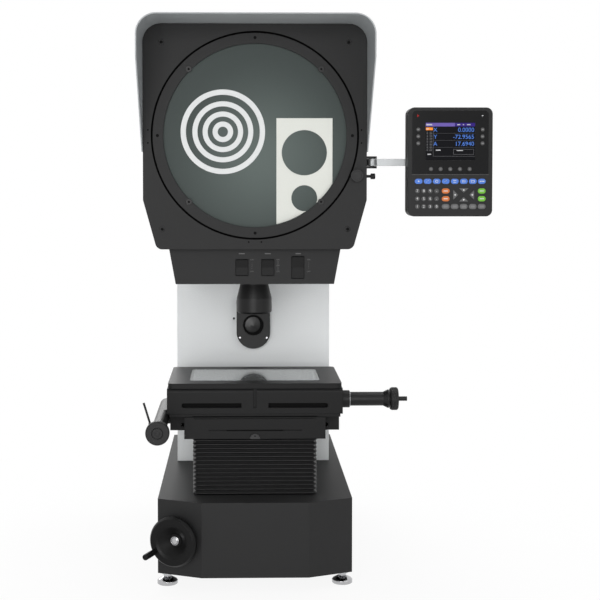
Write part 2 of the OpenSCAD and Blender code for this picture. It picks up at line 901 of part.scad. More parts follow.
module y_drive_tube() {
  r = tube_dia / 2;
  color("#252526") framed() difference() {
    union() {
      translate([-y_drive_x, 0, y_drive_z]) {
        rod_y(r, y_tube_front + 12, y_tube_back);
        rod_y(r + 2, y_tube_front, y_tube_front + 12);
      }
      translate([-y_drive_x, -50, y_drive_z - r]) cube([y_drive_x - carriage_w / 2, 100, tube_dia]);
    }
    translate([-y_drive_x, 0, y_drive_z])
      rod_y(drive_shaft_dia / 2 + run_gap, y_tube_front - 1, y_tube_front + shaft_len);
    at_lever() rod_x(lever_pin_r + run_gap, -1, lever_pin_len + 1);
  }
}

// Knurled-looking round knob on its shaft; the shaft points to +Z and the knob face to -Z
module drive_knob(stub) {
  r = knob_dia / 2;
  rotate_extrude() polygon([
    [0, -knob_len - stub], [r * 0.2, -knob_len - stub], [r * 0.2, -knob_len],
    [r * 0.42, -knob_len], [r * 0.46, -knob_len + 1], [r * 0.5, -knob_len],
    [r - 1.5, -knob_len], [r, -knob_len + 1.5], [r, -4], [r - 2, -2], [tube_dia / 2, -2],
    [tube_dia / 2, -touch_gap],
    [drive_shaft_dia / 2, -touch_gap], [drive_shaft_dia / 2, shaft_len - 2], [0, shaft_len - 2]
  ]);
}

module y_knob() {
  color("#222223") framed() translate([-y_drive_x, y_tube_front, y_drive_z]) rotate([-90, 0, 0])
    drive_knob(0.5);
}

// Pivot of the release lever, on the left flank of the Y drive tube
module at_lever() {
  translate([-y_drive_x - tube_dia / 2 + lever_seat, lever_y, y_drive_z]) children();
}

module release_lever() {
  color("#1b1b1c") framed() at_lever() {
    rod_x(lever_pin_r, -lever_seat - 2, lever_pin_len);
    rod_x(5, -7 - lever_seat, -lever_seat - touch_gap);
    translate([-3.5 - lever_seat, 0, 0]) rotate([0, -lever_lean, 0]) cylinder(r = 1.8, h = lever_len);
  }
}

// Side outline of the X table, with round upper edges
module table_side() {
  flat = stage_d - 2 * shoulder_r;
  translate([0, x_bottom]) {
    translate([-stage_d / 2, 0]) square([stage_d, x_table_h - shoulder_r]);
    translate([-flat / 2, 0]) square([flat, x_table_h]);
    for (s = [-1, 1])
      translate([s * flat / 2, x_table_h - shoulder_r]) circle(shoulder_r);
  }
}

module x_table() {
  gate_x = light_gate + x_travel;
  gate_y = light_gate + y_travel;
  color("#2b2b2c") framed() difference() {
    across(stage_w) table_side();
    translate([0, 0, x_bottom + x_table_h / 2]) cube([gate_x, gate_y, x_table_h + 2], center = true);
    for (s = [-1, 1])
      translate([0, s * rail_y, x_bottom])
        cube([stage_w + 2, rail_w + 2 * slide_gap, 2 * rail_h + 2 * slide_gap], center = true);
    for (s = [-1, 1]) {
      translate([s * slot_x, 0, x_bottom + x_table_h / 3])
        upright(-stage_d / 2 - 1, slot_d + 1) round_rect(slot_w, slot_h, slot_h / 2 - 0.1);
      translate([s * (slot_x - slot_w / 4), 0, x_bottom + x_table_h / 3])
        upright(-stage_d / 2 - 1, slot_d + 1) square([slot_w / 2, slot_h], center = true);
    }
    translate([-2.5, -stage_d / 2 - 1, x_bottom + 10]) cube([5, 4, x_table_h]);
    translate([0, x_drive_y, x_drive_z])
      rod_x(drive_shaft_dia / 2 + run_gap, stage_w / 2 - 40, stage_w / 2 + 1);
  }
}

module stage_frame() {
  r = 8;
  color("#333334") framed() translate([0, 0, frame_bottom]) difference() {
    linear_extrude(frame_t) round_rect(stage_w - 2 * frame_inset, stage_d - 2 * frame_inset, r);
    translate([0, 0, frame_t - glass_t]) linear_extrude(glass_t + 1)
      round_rect(glass_w + 2 * touch_gap, glass_d + 2 * touch_gap, r);
    translate([0, 0, -1]) linear_extrude(frame_t + 2) round_rect(glass_w - 10, glass_d - 10, r);
  }
}

module stage_glass() {
  color("#aeb6b8") framed() translate([0, 0, glass_top - glass_t]) linear_extrude(glass_t)
    round_rect(glass_w, glass_d, 8);
}

module x_drive_tube() {
  r = tube_dia / 2;
  color("#252526") framed() translate([stage_w / 2, x_drive_y, x_drive_z]) difference() {
    union() {
      rod_x(r + 3, 0, 15);
      rod_x(r, 15, tube_len + 20);
      translate([tube_len + 20, 0, 0]) rotate([0, 90, 0]) cylinder(r1 = r, r2 = r + 4, h = 8);
      rod_x(r + 4, tube_len + 28, tube_len + 30);
    }
    rod_x(drive_shaft_dia / 2 + run_gap, -1, tube_len + 31);
  }
}

module x_knob() {
  color("#222223") framed() translate([stage_w / 2 + tube_len + 30, x_drive_y, x_drive_z])
    rotate([0, -90, 0]) drive_knob(16);
}

// Dished handwheel with a raised hub; its face points to local -Y
module focus_wheel() {
  r = wheel_dia / 2;
  hub_r = focus_shaft_dia / 2;
  color("#1a1a1b") framed() at_chamfer() translate([0, -wheel_off, 0]) {
    rotate([90, 0, 0]) rotate_extrude() polygon([
      [hub_r, 0], [2 * hub_r, 0], [r - rim_w, wheel_hub], [r - rim_w / 3, wheel_hub], [r, wheel_t * 0.55],
      [r, wheel_t * 0.8], [r - rim_w / 5, wheel_t], [r - rim_w * 0.75, wheel_t], [r - rim_w, wheel_t * 0.9],
      [1.5 * hub_r, wheel_hub], [hub_r, wheel_hub]
    ]);
    at_grip() rod_y(grip_pin_r, -grip_len - wheel_t, -wheel_t / 2);
  }
}

module at_grip() {
  rotate([0, -grip_angle, 0]) translate([-wheel_dia / 2 + 6, 0, 0]) children();
}

module focus_shaft() {
  r = focus_shaft_dia / 2;
  color("#cfd0d1") framed() at_chamfer() translate([0, -wheel_off, 0]) rotate([-90, 0, 0]) rotate_extrude()
    polygon([
      [0, -shaft_out], [r - 2, -shaft_out], [r, 2 - shaft_out], [r, focus_shaft_len], [0, focus_shaft_len]
    ]);
}

module crank_grip() {
  color("#151516") framed() at_chamfer() translate([0, -wheel_off - wheel_t, 0]) at_grip()
    rotate([90, 0, 0]) rotate_extrude() polygon([
      [grip_pin_r + run_gap, slide_gap], [1.6 * grip_pin_r, slide_gap], [2 * grip_pin_r, grip_len * 0.2],
      [2.1 * grip_pin_r, grip_len * 0.6], [2 * grip_pin_r, grip_len - 2], [1.4 * grip_pin_r, grip_len],
      [grip_pin_r + run_gap, grip_len]
    ]);
}

// Clevis plate on the right side of the head, with the arm's pivot pin and the clamp screw's seat
module side_bracket() {
  x0 = head_w / 2;
  ear_t = 4;
  ear_z = arm_h / 2 + slide_gap;
  color("#222223") framed() difference() {
    union() {
      translate([x0, pivot_y - 14, arm_z - 40]) cube([bracket_t, 28, 64]);
      for (s = [-1, 1]) translate([0, 0, arm_z + s * (ear_z + ear_t / 2)]) {
        translate([pivot_x, pivot_y, 0]) cylinder(r = eye_r, h = ear_t, center = true);
        translate([(x0 + pivot_x) / 2, pivot_y, 0]) cube([pivot_x - x0, 2 * eye_r, ear_t], center = true);
      }
      translate([pivot_x, pivot_y, arm_z - ear_z - ear_t]) cylinder(r = pivot_r, h = 2 * (ear_z + ear_t));
    }
    at_thumbscrew() rod_x(thumb_r + run_gap, -bracket_t - 1, 1);
  }
}

module at_thumbscrew() {
  translate([head_w / 2 + bracket_t, pivot_y, arm_z - screw_drop]) children();
}

module arm_thumbscrew() {
  color("#1d1d1e") framed() at_thumbscrew() rotate([0, 90, 0]) rotate_extrude() polygon([
    [0, -bracket_t + touch_gap], [thumb_r, -bracket_t + touch_gap], [thumb_r, 8], [5, 8.5], [5, 15],
    [4.5, 16], [0, 16]
  ]);
}

// Flat bar from the clevis to the round tilt spindle behind the readout
module readout_arm() {
  end_x = dro_x - lug_w / 2 - slide_gap;
  color("#c3c5c7") framed() difference() {
    union() {
      translate([pivot_x, pivot_y, arm_z]) cylinder(r = eye_r, h = arm_h, center = true);
      translate([(pivot_x + end_x) / 2, pivot_y, arm_z]) cube([end_x - pivot_x, arm_t, arm_h], center = true);
      translate([end_x - 1, pivot_y, arm_z]) rod_x(tilt_r - 1, 0, lug_w + 8);
    }
    translate([pivot_x, pivot_y, arm_z]) cylinder(r = pivot_r + run_gap, h = arm_h + 2, center = true);
  }
}

module readout_case() {
  lug_d = 2 * (pivot_y - dro_back);
  color("#232324") framed() difference() {
    union() {
      translate([dro_x, 0, arm_z]) upright(dro_front + bezel_t, dro_t - bezel_t)
        round_rect(dro_w, dro_h, dro_r);
      translate([dro_x, dro_back + lug_d / 4, arm_z])
        cube([lug_w, lug_d / 2 + 1, 2 * tilt_r + 8], center = true);
      translate([dro_x - lug_w / 2, pivot_y, arm_z]) rod_x(tilt_r + 4, 0, lug_w);
    }
    translate([dro_x, pivot_y, arm_z]) rod_x(tilt_r - 1 + run_gap, -lug_w, lug_w);
  }
}

// Front frame of the readout: flat upper field with the display window, keypad field below
module readout_bezel() {
  color("#1b1b1c") framed() translate([dro_x, 0, arm_z]) difference() {
    upright(dro_front, bezel_t) round_rect(dro_w, dro_h, dro_r);
    translate([display_x, 0, display_z]) upright(dro_front - 1, 3)
      square([display_w, display_h], center = true);
  }
}

module readout_display() {
  color("#10101c") framed() translate([dro_x + display_x, 0, arm_z + display_z])
    upright(dro_front + 0.5, 1.5)
      square([display_w - 2 * touch_gap, display_h - 2 * touch_gap], center = true);
}

// One raised key of the readout, from its outline
module key_cap() {
  upright(dro_front - key_h, key_h) children();
}

module pill_key(x, z) {
  translate([x, 0, z]) key_cap() round_rect(pill_w, pill_h, pill_r);
}

module round_key(x, z, r) {
  translate([x, 0, z]) key_cap() circle(r);
}

// Raised membrane keys on the bezel
module readout_keys() {
  color("#5a5f66") framed() translate([dro_x, 0, arm_z]) {
    for (k = [0 : 7])
      pill_key((k - 3.5) * pill_pitch, upper_row_z);
    for (col = [0 : 3], row = [0 : 2])
      round_key(digit_x + col * digit_pitch, digit_z - row * row_pitch, digit_r);
    for (x = [-pill_pitch / 2, 3.5 * pill_pitch], row = [0 : 1])
      pill_key(x, digit_z - row * row_pitch);
    for (k = [0 : 4])
      pill_key((k - 0.5) * pill_pitch, digit_z - 2 * row_pitch);
    for (k = [-2 : 2])
      round_key(k * soft_pitch, soft_z, soft_r);
    for (s = [-1, 1], k = [0 : 2])
      round_key(s * side_x, side_z - k * side_pitch, side_r);
    for (a = [0 : 90 : 270])
      translate([1.5 * pill_pitch, 0, digit_z - row_pitch / 2]) rotate([0, a, 0])
        translate([0, 0, a % 180 == 0 ? 0 : arrow_shift]) key_cap()
          polygon([[-arrow_half, arrow_out], [arrow_half, arrow_out], [0, arrow_in]]);
  }
}

base_casting();
base_cover();
foot_fl();
foot_fr();
foot_rl();
foot_rr();
foot_nuts();
column();
column_cover();
head_shell();
front_plate();
plate_screws();
ring_retainer();
hood();
panel_box();
mirror_cheeks();
first_mirror();
mirror_wedge();
main_mirror();
objective();
objective_lens();
surface_plate();
surface_lens();
condenser_tube();
condenser_lens();
guide_posts();
screen_ring();
screen_glass();
screen_clips();
screen_knob();
drive_roller();
rocker_contour();
rocker_surface();
rocker_power();
lift_table();
lift_bushes();
lift_nut();
y_rails();
bellows();
y_carriage();
x_rails();
y_drive_tube();
y_knob();
release_lever();
x_table();
stage_frame();
stage_glass();
x_drive_tube();
x_knob();
lift_screw();
focus_wheel();
focus_shaft();
crank_grip();
side_bracket();
arm_thumbscrew();
readout_arm();
readout_case();
readout_bezel();
readout_display();
readout_keys();
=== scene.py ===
# %% [markdown]
# A bench-top optical comparator, dressed in Blender.
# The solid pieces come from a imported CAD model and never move. This lesson gives them finishes,
# adds the soft bellows, the projected picture and the printed details, and sets up a studio.
# Everything is in metres, and the origin is the centre of the stage glass.

# %% load the frame
import json
import math

import bmesh
import bpy
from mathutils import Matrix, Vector


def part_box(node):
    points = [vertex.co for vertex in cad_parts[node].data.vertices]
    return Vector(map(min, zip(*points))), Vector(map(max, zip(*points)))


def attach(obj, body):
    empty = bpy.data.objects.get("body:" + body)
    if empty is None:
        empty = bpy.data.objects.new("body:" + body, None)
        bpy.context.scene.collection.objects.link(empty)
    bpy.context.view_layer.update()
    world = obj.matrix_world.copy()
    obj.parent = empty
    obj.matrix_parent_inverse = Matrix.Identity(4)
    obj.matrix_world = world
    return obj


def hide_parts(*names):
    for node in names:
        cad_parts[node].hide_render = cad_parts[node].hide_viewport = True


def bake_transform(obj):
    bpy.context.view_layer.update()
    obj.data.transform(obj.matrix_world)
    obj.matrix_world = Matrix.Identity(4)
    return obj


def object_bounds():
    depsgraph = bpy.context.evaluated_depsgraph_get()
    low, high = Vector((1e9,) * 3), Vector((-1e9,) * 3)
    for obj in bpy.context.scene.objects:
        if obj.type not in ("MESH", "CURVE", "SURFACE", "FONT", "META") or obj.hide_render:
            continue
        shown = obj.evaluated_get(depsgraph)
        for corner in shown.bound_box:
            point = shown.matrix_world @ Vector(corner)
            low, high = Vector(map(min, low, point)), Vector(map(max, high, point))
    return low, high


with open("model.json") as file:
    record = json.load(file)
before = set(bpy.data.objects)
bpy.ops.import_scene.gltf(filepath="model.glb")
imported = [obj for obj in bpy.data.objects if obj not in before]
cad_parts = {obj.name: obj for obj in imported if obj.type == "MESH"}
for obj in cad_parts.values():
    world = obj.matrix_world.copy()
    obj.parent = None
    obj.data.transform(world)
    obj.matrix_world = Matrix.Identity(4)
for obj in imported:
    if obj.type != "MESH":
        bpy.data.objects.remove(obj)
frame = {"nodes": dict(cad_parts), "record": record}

CAD_BOX = [list(corner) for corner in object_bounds()]
NODE = frame["nodes"]
MM = 0.001


def corners(node):
    """The low and the high corner of a node's box."""
    return [Vector(corner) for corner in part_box(node)]


def new_object(name, data):
    """A new object in the scene."""
    made = bpy.data.objects.new(name, data)
    bpy.context.scene.collection.objects.link(made)
    return made


# %% [markdown]
# The camera comes first, because every later choice is judged through it.
# The photograph keeps upright edges nearly upright, as a view camera with lens shift does.
# Other views keep the shift, and a large one pushes the machine out of their frame, so the camera
# is turned a part of the way to the machine and lens shift does the rest.

# %% camera
IMAGE_PX = 600
AXIS_PX = (264.1, 228.5)
FOCAL_PX = 1276
SENSOR_MM = 36
CAMERA_AT = (-0.0252, -2.262, 0.346)
LOOK_DOWN = math.radians(2.16)
LOOK_RIGHT = math.radians(1.08)
camera_data = bpy.data.cameras.new("camera")
camera_data.sensor_width = SENSOR_MM
camera_data.lens = SENSOR_MM * FOCAL_PX / IMAGE_PX
camera_data.shift_x = (IMAGE_PX / 2 - AXIS_PX[0]) / IMAGE_PX
camera_data.shift_y = (AXIS_PX[1] - IMAGE_PX / 2) / IMAGE_PX
camera = new_object("camera", camera_data)
camera.location = CAMERA_AT
camera.rotation_euler = (math.pi / 2 - LOOK_DOWN, 0, -LOOK_RIGHT)
bpy.context.scene.camera = camera
bpy.context.scene.view_settings.view_transform = "Standard"
print("camera lens", round(camera_data.lens, 1), "mm, shift", camera_data.shift_x, camera_data.shift_y)

# %% [markdown]
# A product photograph stands on white. The floor and the world show plain white to the camera and to
# mirror-like surfaces, while the light that reaches the machine stays at an ordinary level.
# A share of the floor is a real diffuse surface, so the machine keeps its soft shadow.

# %% floor and world
AMBIENT = 0.38
WHITE_SHARE = 0.9
SHADOW_REACH = (0.45, 1.1)
PAPER_WHITE = (0.93, 0.93, 0.93, 1)
FLOOR_SIZE = 24
FLOOR_Z = CAD_BOX[0][2]


def seen_directly(nodes, links):
    """A mask that is 1 for camera, glossy and transmission rays."""
    path = nodes.new("ShaderNodeLightPath")
    mask = path.outputs["Is Camera Ray"]
    for ray in ("Is Glossy Ray", "Is Transmission Ray"):
        either = nodes.new("ShaderNodeMath")
        either.operation = "MAXIMUM"
        links.new(mask, either.inputs[0])
        links.new(path.outputs[ray], either.inputs[1])
        mask = either.outputs[0]
    return mask


def make_world(ambient):
    world = bpy.data.worlds.new("studio")
    bpy.context.scene.world = world
    world.use_nodes = True
    nodes, links = world.node_tree.nodes, world.node_tree.links
    nodes.clear()
    mix = nodes.new("ShaderNodeMixShader")
    out = nodes.new("ShaderNodeOutputWorld")
    links.new(seen_directly(nodes, links), mix.inputs[0])
    for socket, strength in ((mix.inputs[1], ambient), (mix.inputs[2], 1)):
        white = nodes.new("ShaderNodeBackground")
        white.inputs["Color"].default_value = (1, 1, 1, 1)
        white.inputs["Strength"].default_value = strength
        links.new(white.outputs[0], socket)
    links.new(mix.outputs[0], out.inputs[0])


def make_floor(size, height):
    mesh = bpy.data.meshes.new("floor")
    half = size / 2
    mesh.from_pydata([(-half, -half, height), (half, -half, height), (half, half, height), (-half, half, height)],
                     [], [(0, 1, 2, 3)])
    floor = new_object("floor", mesh)
    material = bpy.data.materials.new("floor_paper")
    material.use_nodes = True
    nodes, links = material.node_tree.nodes, material.node_tree.links
    nodes.clear()
    paper = nodes.new("ShaderNodeBsdfDiffuse")
    paper.inputs["Color"].default_value = PAPER_WHITE
    glow = nodes.new("ShaderNodeEmission")
    glow.inputs["Strength"].default_value = 1
    place = nodes.new("ShaderNodeNewGeometry")
    reach = nodes.new("ShaderNodeVectorMath")
    reach.operation = "LENGTH"
    links.new(place.outputs["Position"], reach.inputs[0])
    fade = nodes.new("ShaderNodeMapRange")
    fade.interpolation_type = "SMOOTHSTEP"
    fade.inputs["From Min"].default_value = SHADOW_REACH[0]
    fade.inputs["From Max"].default_value = SHADOW_REACH[1]
    fade.inputs["To Min"].default_value = WHITE_SHARE
    fade.inputs["To Max"].default_value = 1
    links.new(reach.outputs["Value"], fade.inputs["Value"])
    share = nodes.new("ShaderNodeMath")
    share.operation = "MULTIPLY"
    links.new(fade.outputs["Result"], share.inputs[1])
    links.new(seen_directly(nodes, links), share.inputs[0])
    mix = nodes.new("ShaderNodeMixShader")
    out = nodes.new("ShaderNodeOutputMaterial")
    links.new(share.outputs[0], mix.inputs[0])
    links.new(paper.outputs[0], mix.inputs[1])
    links.new(glow.outputs[0], mix.inputs[2])
    links.new(mix.outputs[0], out.inputs[0])
    mesh.materials.append(material)


make_world(AMBIENT)
make_floor(FLOOR_SIZE, FLOOR_Z)
print("floor at", round(FLOOR_Z, 4))

# %% [markdown]
# Dark machines need large soft lamps: their paint shows mostly reflections of the lamps.
# The key is broad and stands a little left of the camera, a weak fill stands on the right, and a lamp above lights
# the flat faces. A lamp behind and one on each side keep the shell readable from the other angles. The side lamps
# don't show in reflections, because they would turn the stage glass white.

# %% lamps
AIM = (0, 0, 0.1)
LAMPS = (("key_lamp", (-0.5, -3.3, 0.5), 1.8, 57), ("fill_lamp", (2.0, -2.4, 0.9), 1.8, 13),
         ("top_lamp", (0.1, 0.2, 2.6), 1.8, 34), ("back_lamp", (-1.0, 3.2, 1.7), 2.0, 38),
         ("left_lamp", (-3.0, 1.6, 1.2), 2.0, 20), ("right_lamp", (3.0, 1.6, 1.2), 2.0, 20))


def area_lamp(name, place, target, size, power):
    data = bpy.data.lights.new(name, "AREA")
    data.shape = "SQUARE"
    data.size = size
    data.energy = power
    lamp = new_object(name, data)
    lamp.location = place
    aim = Vector(target) - Vector(place)
    lamp.rotation_euler = aim.to_track_quat("-Z", "Y").to_euler()
    return lamp


for lamp_name, lamp_at, lamp_size, lamp_power in LAMPS:
    lamp = area_lamp(lamp_name, lamp_at, AIM, lamp_size, lamp_power)
    lamp.visible_glossy = lamp_name not in ("left_lamp", "right_lamp")
print(len(LAMPS), "lamps")

# %% [markdown]
# Two effects are shared by many finishes, so each is one shader node group with named sockets.
# The grain group gives the fine orange-peel of sprayed enamel, with a slow drift of tone across a panel.
# The edge group rounds the shading of sharp edges and marks where hands and tools rub the paint.

# %% shared node groups
SPECK_SHARE = 0.22
DRIFT_SCALE = 4.0
RUB_PATCH_SCALE = 60.0


def new_group(name, inputs, outputs):
    group = bpy.data.node_groups.new(name, "ShaderNodeTree")
    for label, kind, value in inputs:
        socket = group.interface.new_socket(label, in_out="INPUT", socket_type=kind)
        socket.default_value = value
    for label, kind in outputs:
        group.interface.new_socket(label, in_out="OUTPUT", socket_type=kind)
    entry = group.nodes.new("NodeGroupInput")
    leave = group.nodes.new("NodeGroupOutput")
    return group, entry, leave


def math_node(tree, operation, a, b):
    node = tree.nodes.new("ShaderNodeMath")
    node.operation = operation
    for socket, value in zip(node.inputs, (a, b)):
        if isinstance(value, (int, float)):
            socket.default_value = value
        else:
            tree.links.new(value, socket)
    return node.outputs[0]


def mix_colour(tree, factor, a, b, blend="MIX"):
    node = tree.nodes.new("ShaderNodeMix")
    node.data_type = "RGBA"
    node.blend_type = blend
    for socket, value in zip((node.inputs[0], node.inputs[6], node.inputs[7]), (factor, a, b)):
        if isinstance(value, (int, float, tuple)):
            socket.default_value = value
        else:
            tree.links.new(value, socket)
    return node.outputs[2]


def noise(tree, scale, detail, coordinate):
    node = tree.nodes.new("ShaderNodeTexNoise")
    node.inputs["Detail"].default_value = detail
    tree.links.new(coordinate, node.inputs["Vector"])
    if isinstance(scale, (int, float)):
        node.inputs["Scale"].default_value = scale
    else:
        tree.links.new(scale, node.inputs["Scale"])
    return node.outputs[0]


def make_grain_group():
    group, entry, leave = new_group(
        "enamel_grain",
        [("Color", "NodeSocketColor", (0.1, 0.1, 0.1, 1)), ("Scale", "NodeSocketFloat", 900.0),
         ("Drift", "NodeSocketFloat", 0.15), ("Roughness", "NodeSocketFloat", 0.4),
         ("Roughness Spread", "NodeSocketFloat", 0.12)],
        [("Color", "NodeSocketColor"), ("Roughness", "NodeSocketFloat"), ("Height", "NodeSocketFloat")])
    place = group.nodes.new("ShaderNodeTexCoord").outputs["Object"]
    fine = noise(group, entry.outputs["Scale"], 3.0, place)
    slow = noise(group, DRIFT_SCALE, 2.0, place)
    # noise lies round a half, so a half comes off before it is scaled
    fine_swing = math_node(group, "SUBTRACT", fine, 0.5)
    drift = math_node(group, "MULTIPLY", math_node(group, "SUBTRACT", slow, 0.5), entry.outputs["Drift"])
    speck = math_node(group, "MULTIPLY", fine_swing, SPECK_SHARE)
    gain = math_node(group, "ADD", math_node(group, "ADD", drift, speck), 1.0)
    grey = group.nodes.new("ShaderNodeCombineColor")
    for channel in range(3):
        group.links.new(gain, grey.inputs[channel])
    colour = mix_colour(group, 1.0, entry.outputs["Color"], grey.outputs[0], "MULTIPLY")
    spread = math_node(group, "MULTIPLY", fine_swing, entry.outputs["Roughness Spread"])
    rough = math_node(group, "ADD", entry.outputs["Roughness"], spread)
    group.links.new(colour, leave.inputs["Color"])
    group.links.new(rough, leave.inputs["Roughness"])
    group.links.new(fine, leave.inputs["Height"])
    return group


def make_edge_group():
    group, entry, leave = new_group(
        "rubbed_edge",
        [("Radius", "NodeSocketFloat", 0.0012), ("Amount", "NodeSocketFloat", 0.5)],
        [("Mask", "NodeSocketFloat"), ("Normal", "NodeSocketVector")])
    bevel = group.nodes.new("ShaderNodeBevel")
    bevel.samples = 4
    group.links.new(entry.outputs["Radius"], bevel.inputs["Radius"])
    flat = group.nodes.new("ShaderNodeNewGeometry")
    dot = group.nodes.new("ShaderNodeVectorMath")
    dot.operation = "DOT_PRODUCT"
    group.links.new(bevel.outputs[0], dot.inputs[0])
    group.links.new(flat.outputs["Normal"], dot.inputs[1])
    turn = math_node(group, "SUBTRACT", 1.0, dot.outputs["Value"])
    place = group.nodes.new("ShaderNodeTexCoord").outputs["Object"]
    patch = noise(group, RUB_PATCH_SCALE, 4.0, place)
    rub = math_node(group, "MULTIPLY", math_node(group, "MULTIPLY", turn, patch), entry.outputs["Amount"])
    clamp = group.nodes.new("ShaderNodeClamp")
    group.links.new(rub, clamp.inputs[0])
    group.links.new(clamp.outputs[0], leave.inputs["Mask"])
    group.links.new(bevel.outputs[0], leave.inputs["Normal"])
    return group


GRAIN = make_grain_group()
EDGE = make_edge_group()
print("groups:", GRAIN.name, EDGE.name)

# %% [markdown]
# Most of the machine is one family of finishes: a base colour through the grain group, rubbed edges on top,
# and a fine bump. One function builds the family, and each finish is a line with its own values.

# %% finishes
EDGE_RADIUS = 1.2 * MM
BUMP_HEIGHT = 0.3 * MM


def grey(level):
    return (level, level, level)


def new_material(name):
    """A new material, with its node tree and its shader."""
    material = bpy.data.materials.new(name)
    material.use_nodes = True
    tree = material.node_tree
    return material, tree, tree.nodes["Principled BSDF"]


def add_grain(tree, shader, colour, scale, drift, rough, spread):
    """Places the grain group and links its roughness."""
    grain = tree.nodes.new("ShaderNodeGroup")
    grain.node_tree = GRAIN
    for label, value in (("Color", (*colour, 1)), ("Scale", scale), ("Drift", drift), ("Roughness", rough),
                         ("Roughness Spread", spread)):
        grain.inputs[label].default_value = value
    tree.links.new(grain.outputs["Roughness"], shader.inputs["Roughness"])
    return grain


def add_bump(tree, shader, height, strength, distance):
    """A bump from a height, linked to the shader's normal."""
    relief = tree.nodes.new("ShaderNodeBump")
    relief.inputs["Strength"].default_value = strength
    relief.inputs["Distance"].default_value = distance
    tree.links.new(height, relief.inputs["Height"])
    tree.links.new(relief.outputs[0], shader.inputs["Normal"])
    return relief


def finish(name, colour, rough, scale=900.0, bump=0.08, drift=0.15, spread=0.12, metallic=0.0,
           rub=grey(0.3), rub_amount=0.6, specular=0.5):
    """One painted, moulded or metal finish: grain, drift of tone, rubbed edges and a fine bump."""
    material, tree, shader = new_material(name)
    grain = add_grain(tree, shader, colour, scale, drift, rough, spread)
    worn = tree.nodes.new("ShaderNodeGroup")
    worn.node_tree = EDGE
    worn.inputs["Radius"].default_value = EDGE_RADIUS
    worn.inputs["Amount"].default_value = rub_amount
    painted = mix_colour(tree, worn.outputs["Mask"], grain.outputs["Color"], (*rub, 1))
    tree.links.new(painted, shader.inputs["Base Color"])
    relief = add_bump(tree, shader, grain.outputs["Height"], bump, BUMP_HEIGHT)
    tree.links.new(worn.outputs["Normal"], relief.inputs["Normal"])
    shader.inputs["Metallic"].default_value = metallic
    shader.inputs["Specular IOR Level"].default_value = specular
    return material


FINISH = {
    "charcoal_paint": finish("charcoal_enamel", (0.0265, 0.0265, 0.0268), 0.5, scale=700, bump=0.25,
                             rub=grey(0.055), specular=0.08),
    "column_paint": finish("pale_enamel", (0.74, 0.76, 0.765), 0.45, scale=700, bump=0.12, drift=0.06,
                           rub=(0.75, 0.76, 0.77)),
    "hood_paint": finish("grey_enamel", (0.335, 0.352, 0.36), 0.42, scale=800, bump=0.12, drift=0.1,
                         rub=(0.3, 0.31, 0.32)),
    "stage_black": finish("stage_enamel", (0.0125, 0.0125, 0.0127), 0.4, scale=1100, bump=0.12,
                          rub=grey(0.07), specular=0.085),
    "black_metal": finish("black_anodised", (0.0075, 0.0075, 0.0077), 0.4, scale=1500, bump=0.08,
                          rub=grey(0.06), specular=0.22),
    "chrome": finish("bright_chrome", (0.46, 0.46, 0.47), 0.12, scale=400, bump=0.02, drift=0.1, spread=0.06,
                     metallic=1.0, rub=grey(0.9), rub_amount=0.2),
    "steel": finish("ground_steel", (0.5, 0.51, 0.52), 0.3, scale=1600, bump=0.1, drift=0.1, spread=0.2,
                    metallic=1.0, rub=grey(0.7), rub_amount=0.3),
    "bronze": finish("turned_bronze", (0.5, 0.36, 0.16), 0.35, scale=1200, bump=0.1, drift=0.2, spread=0.2,
                     metallic=1.0, rub=(0.7, 0.55, 0.3), rub_amount=0.3),
    "arm_aluminium": finish("brushed_aluminium", (0.36, 0.37, 0.375), 0.5, scale=1800, bump=0.1, drift=0.05,
                            spread=0.2, metallic=1.0, rub=grey(0.85), rub_amount=0.3),
    "bellows_cloth": finish("coated_cloth", (0.0035, 0.0035, 0.0037), 0.5, scale=1600, bump=0.3, drift=0.3,
                            spread=0.15, rub=grey(0.03), specular=0.2),
    "black_plastic": finish("moulded_black", (0.0095, 0.0095, 0.0097), 0.42, scale=1800, bump=0.15, drift=0.1,
                            rub=grey(0.04), specular=0.22),
    "readout_plastic": finish("readout_shell", (0.012, 0.012, 0.0127), 0.5, scale=2200, bump=0.25, drift=0.1,
                              rub=grey(0.05), specular=0.3),
    "readout_film": finish("readout_film", (0.016, 0.016, 0.0164), 0.45, scale=2600, bump=0.2, drift=0.1,
                           rub=grey(0.04), specular=0.15),
}
print("finishes:", ", ".join(FINISH))

# %% [markdown]
# Glass comes in four kinds here: the clear pane of the stage, the coated lenses, the ground screen and the mirrors.
# The screen is lit from behind by the projector, brightest in the middle, so its colour fades with the
# distance from the screen's centre and a little of it glows.

# %% glass
SCREEN_LOW, SCREEN_HIGH = corners("screen_glass")
SCREEN_MID = (SCREEN_LOW + SCREEN_HIGH) / 2
GLOW_SHIFT = Vector((0.012, 0, -0.03))
GLOW_REACH = 0.17
FROST_COLOUR = (0.3, 0.33, 0.32, 1)
FROST_SCALE, FROST_SHARE, FROST_BUMP, FROST_HEIGHT = 2400.0, 0.1, 0.1, 0.1 * MM


def clear_glass(name, colour, rough, transmission, ior=1.5):
    material, tree, shader = new_material(name)
    grain = add_grain(tree, shader, colour, scale=120, drift=0.06, rough=rough, spread=rough * 0.2)
    tree.links.new(grain.outputs["Color"], shader.inputs["Base Color"])
    shader.inputs["Transmission Weight"].default_value = transmission
    shader.inputs["IOR"].default_value = ior
    return material


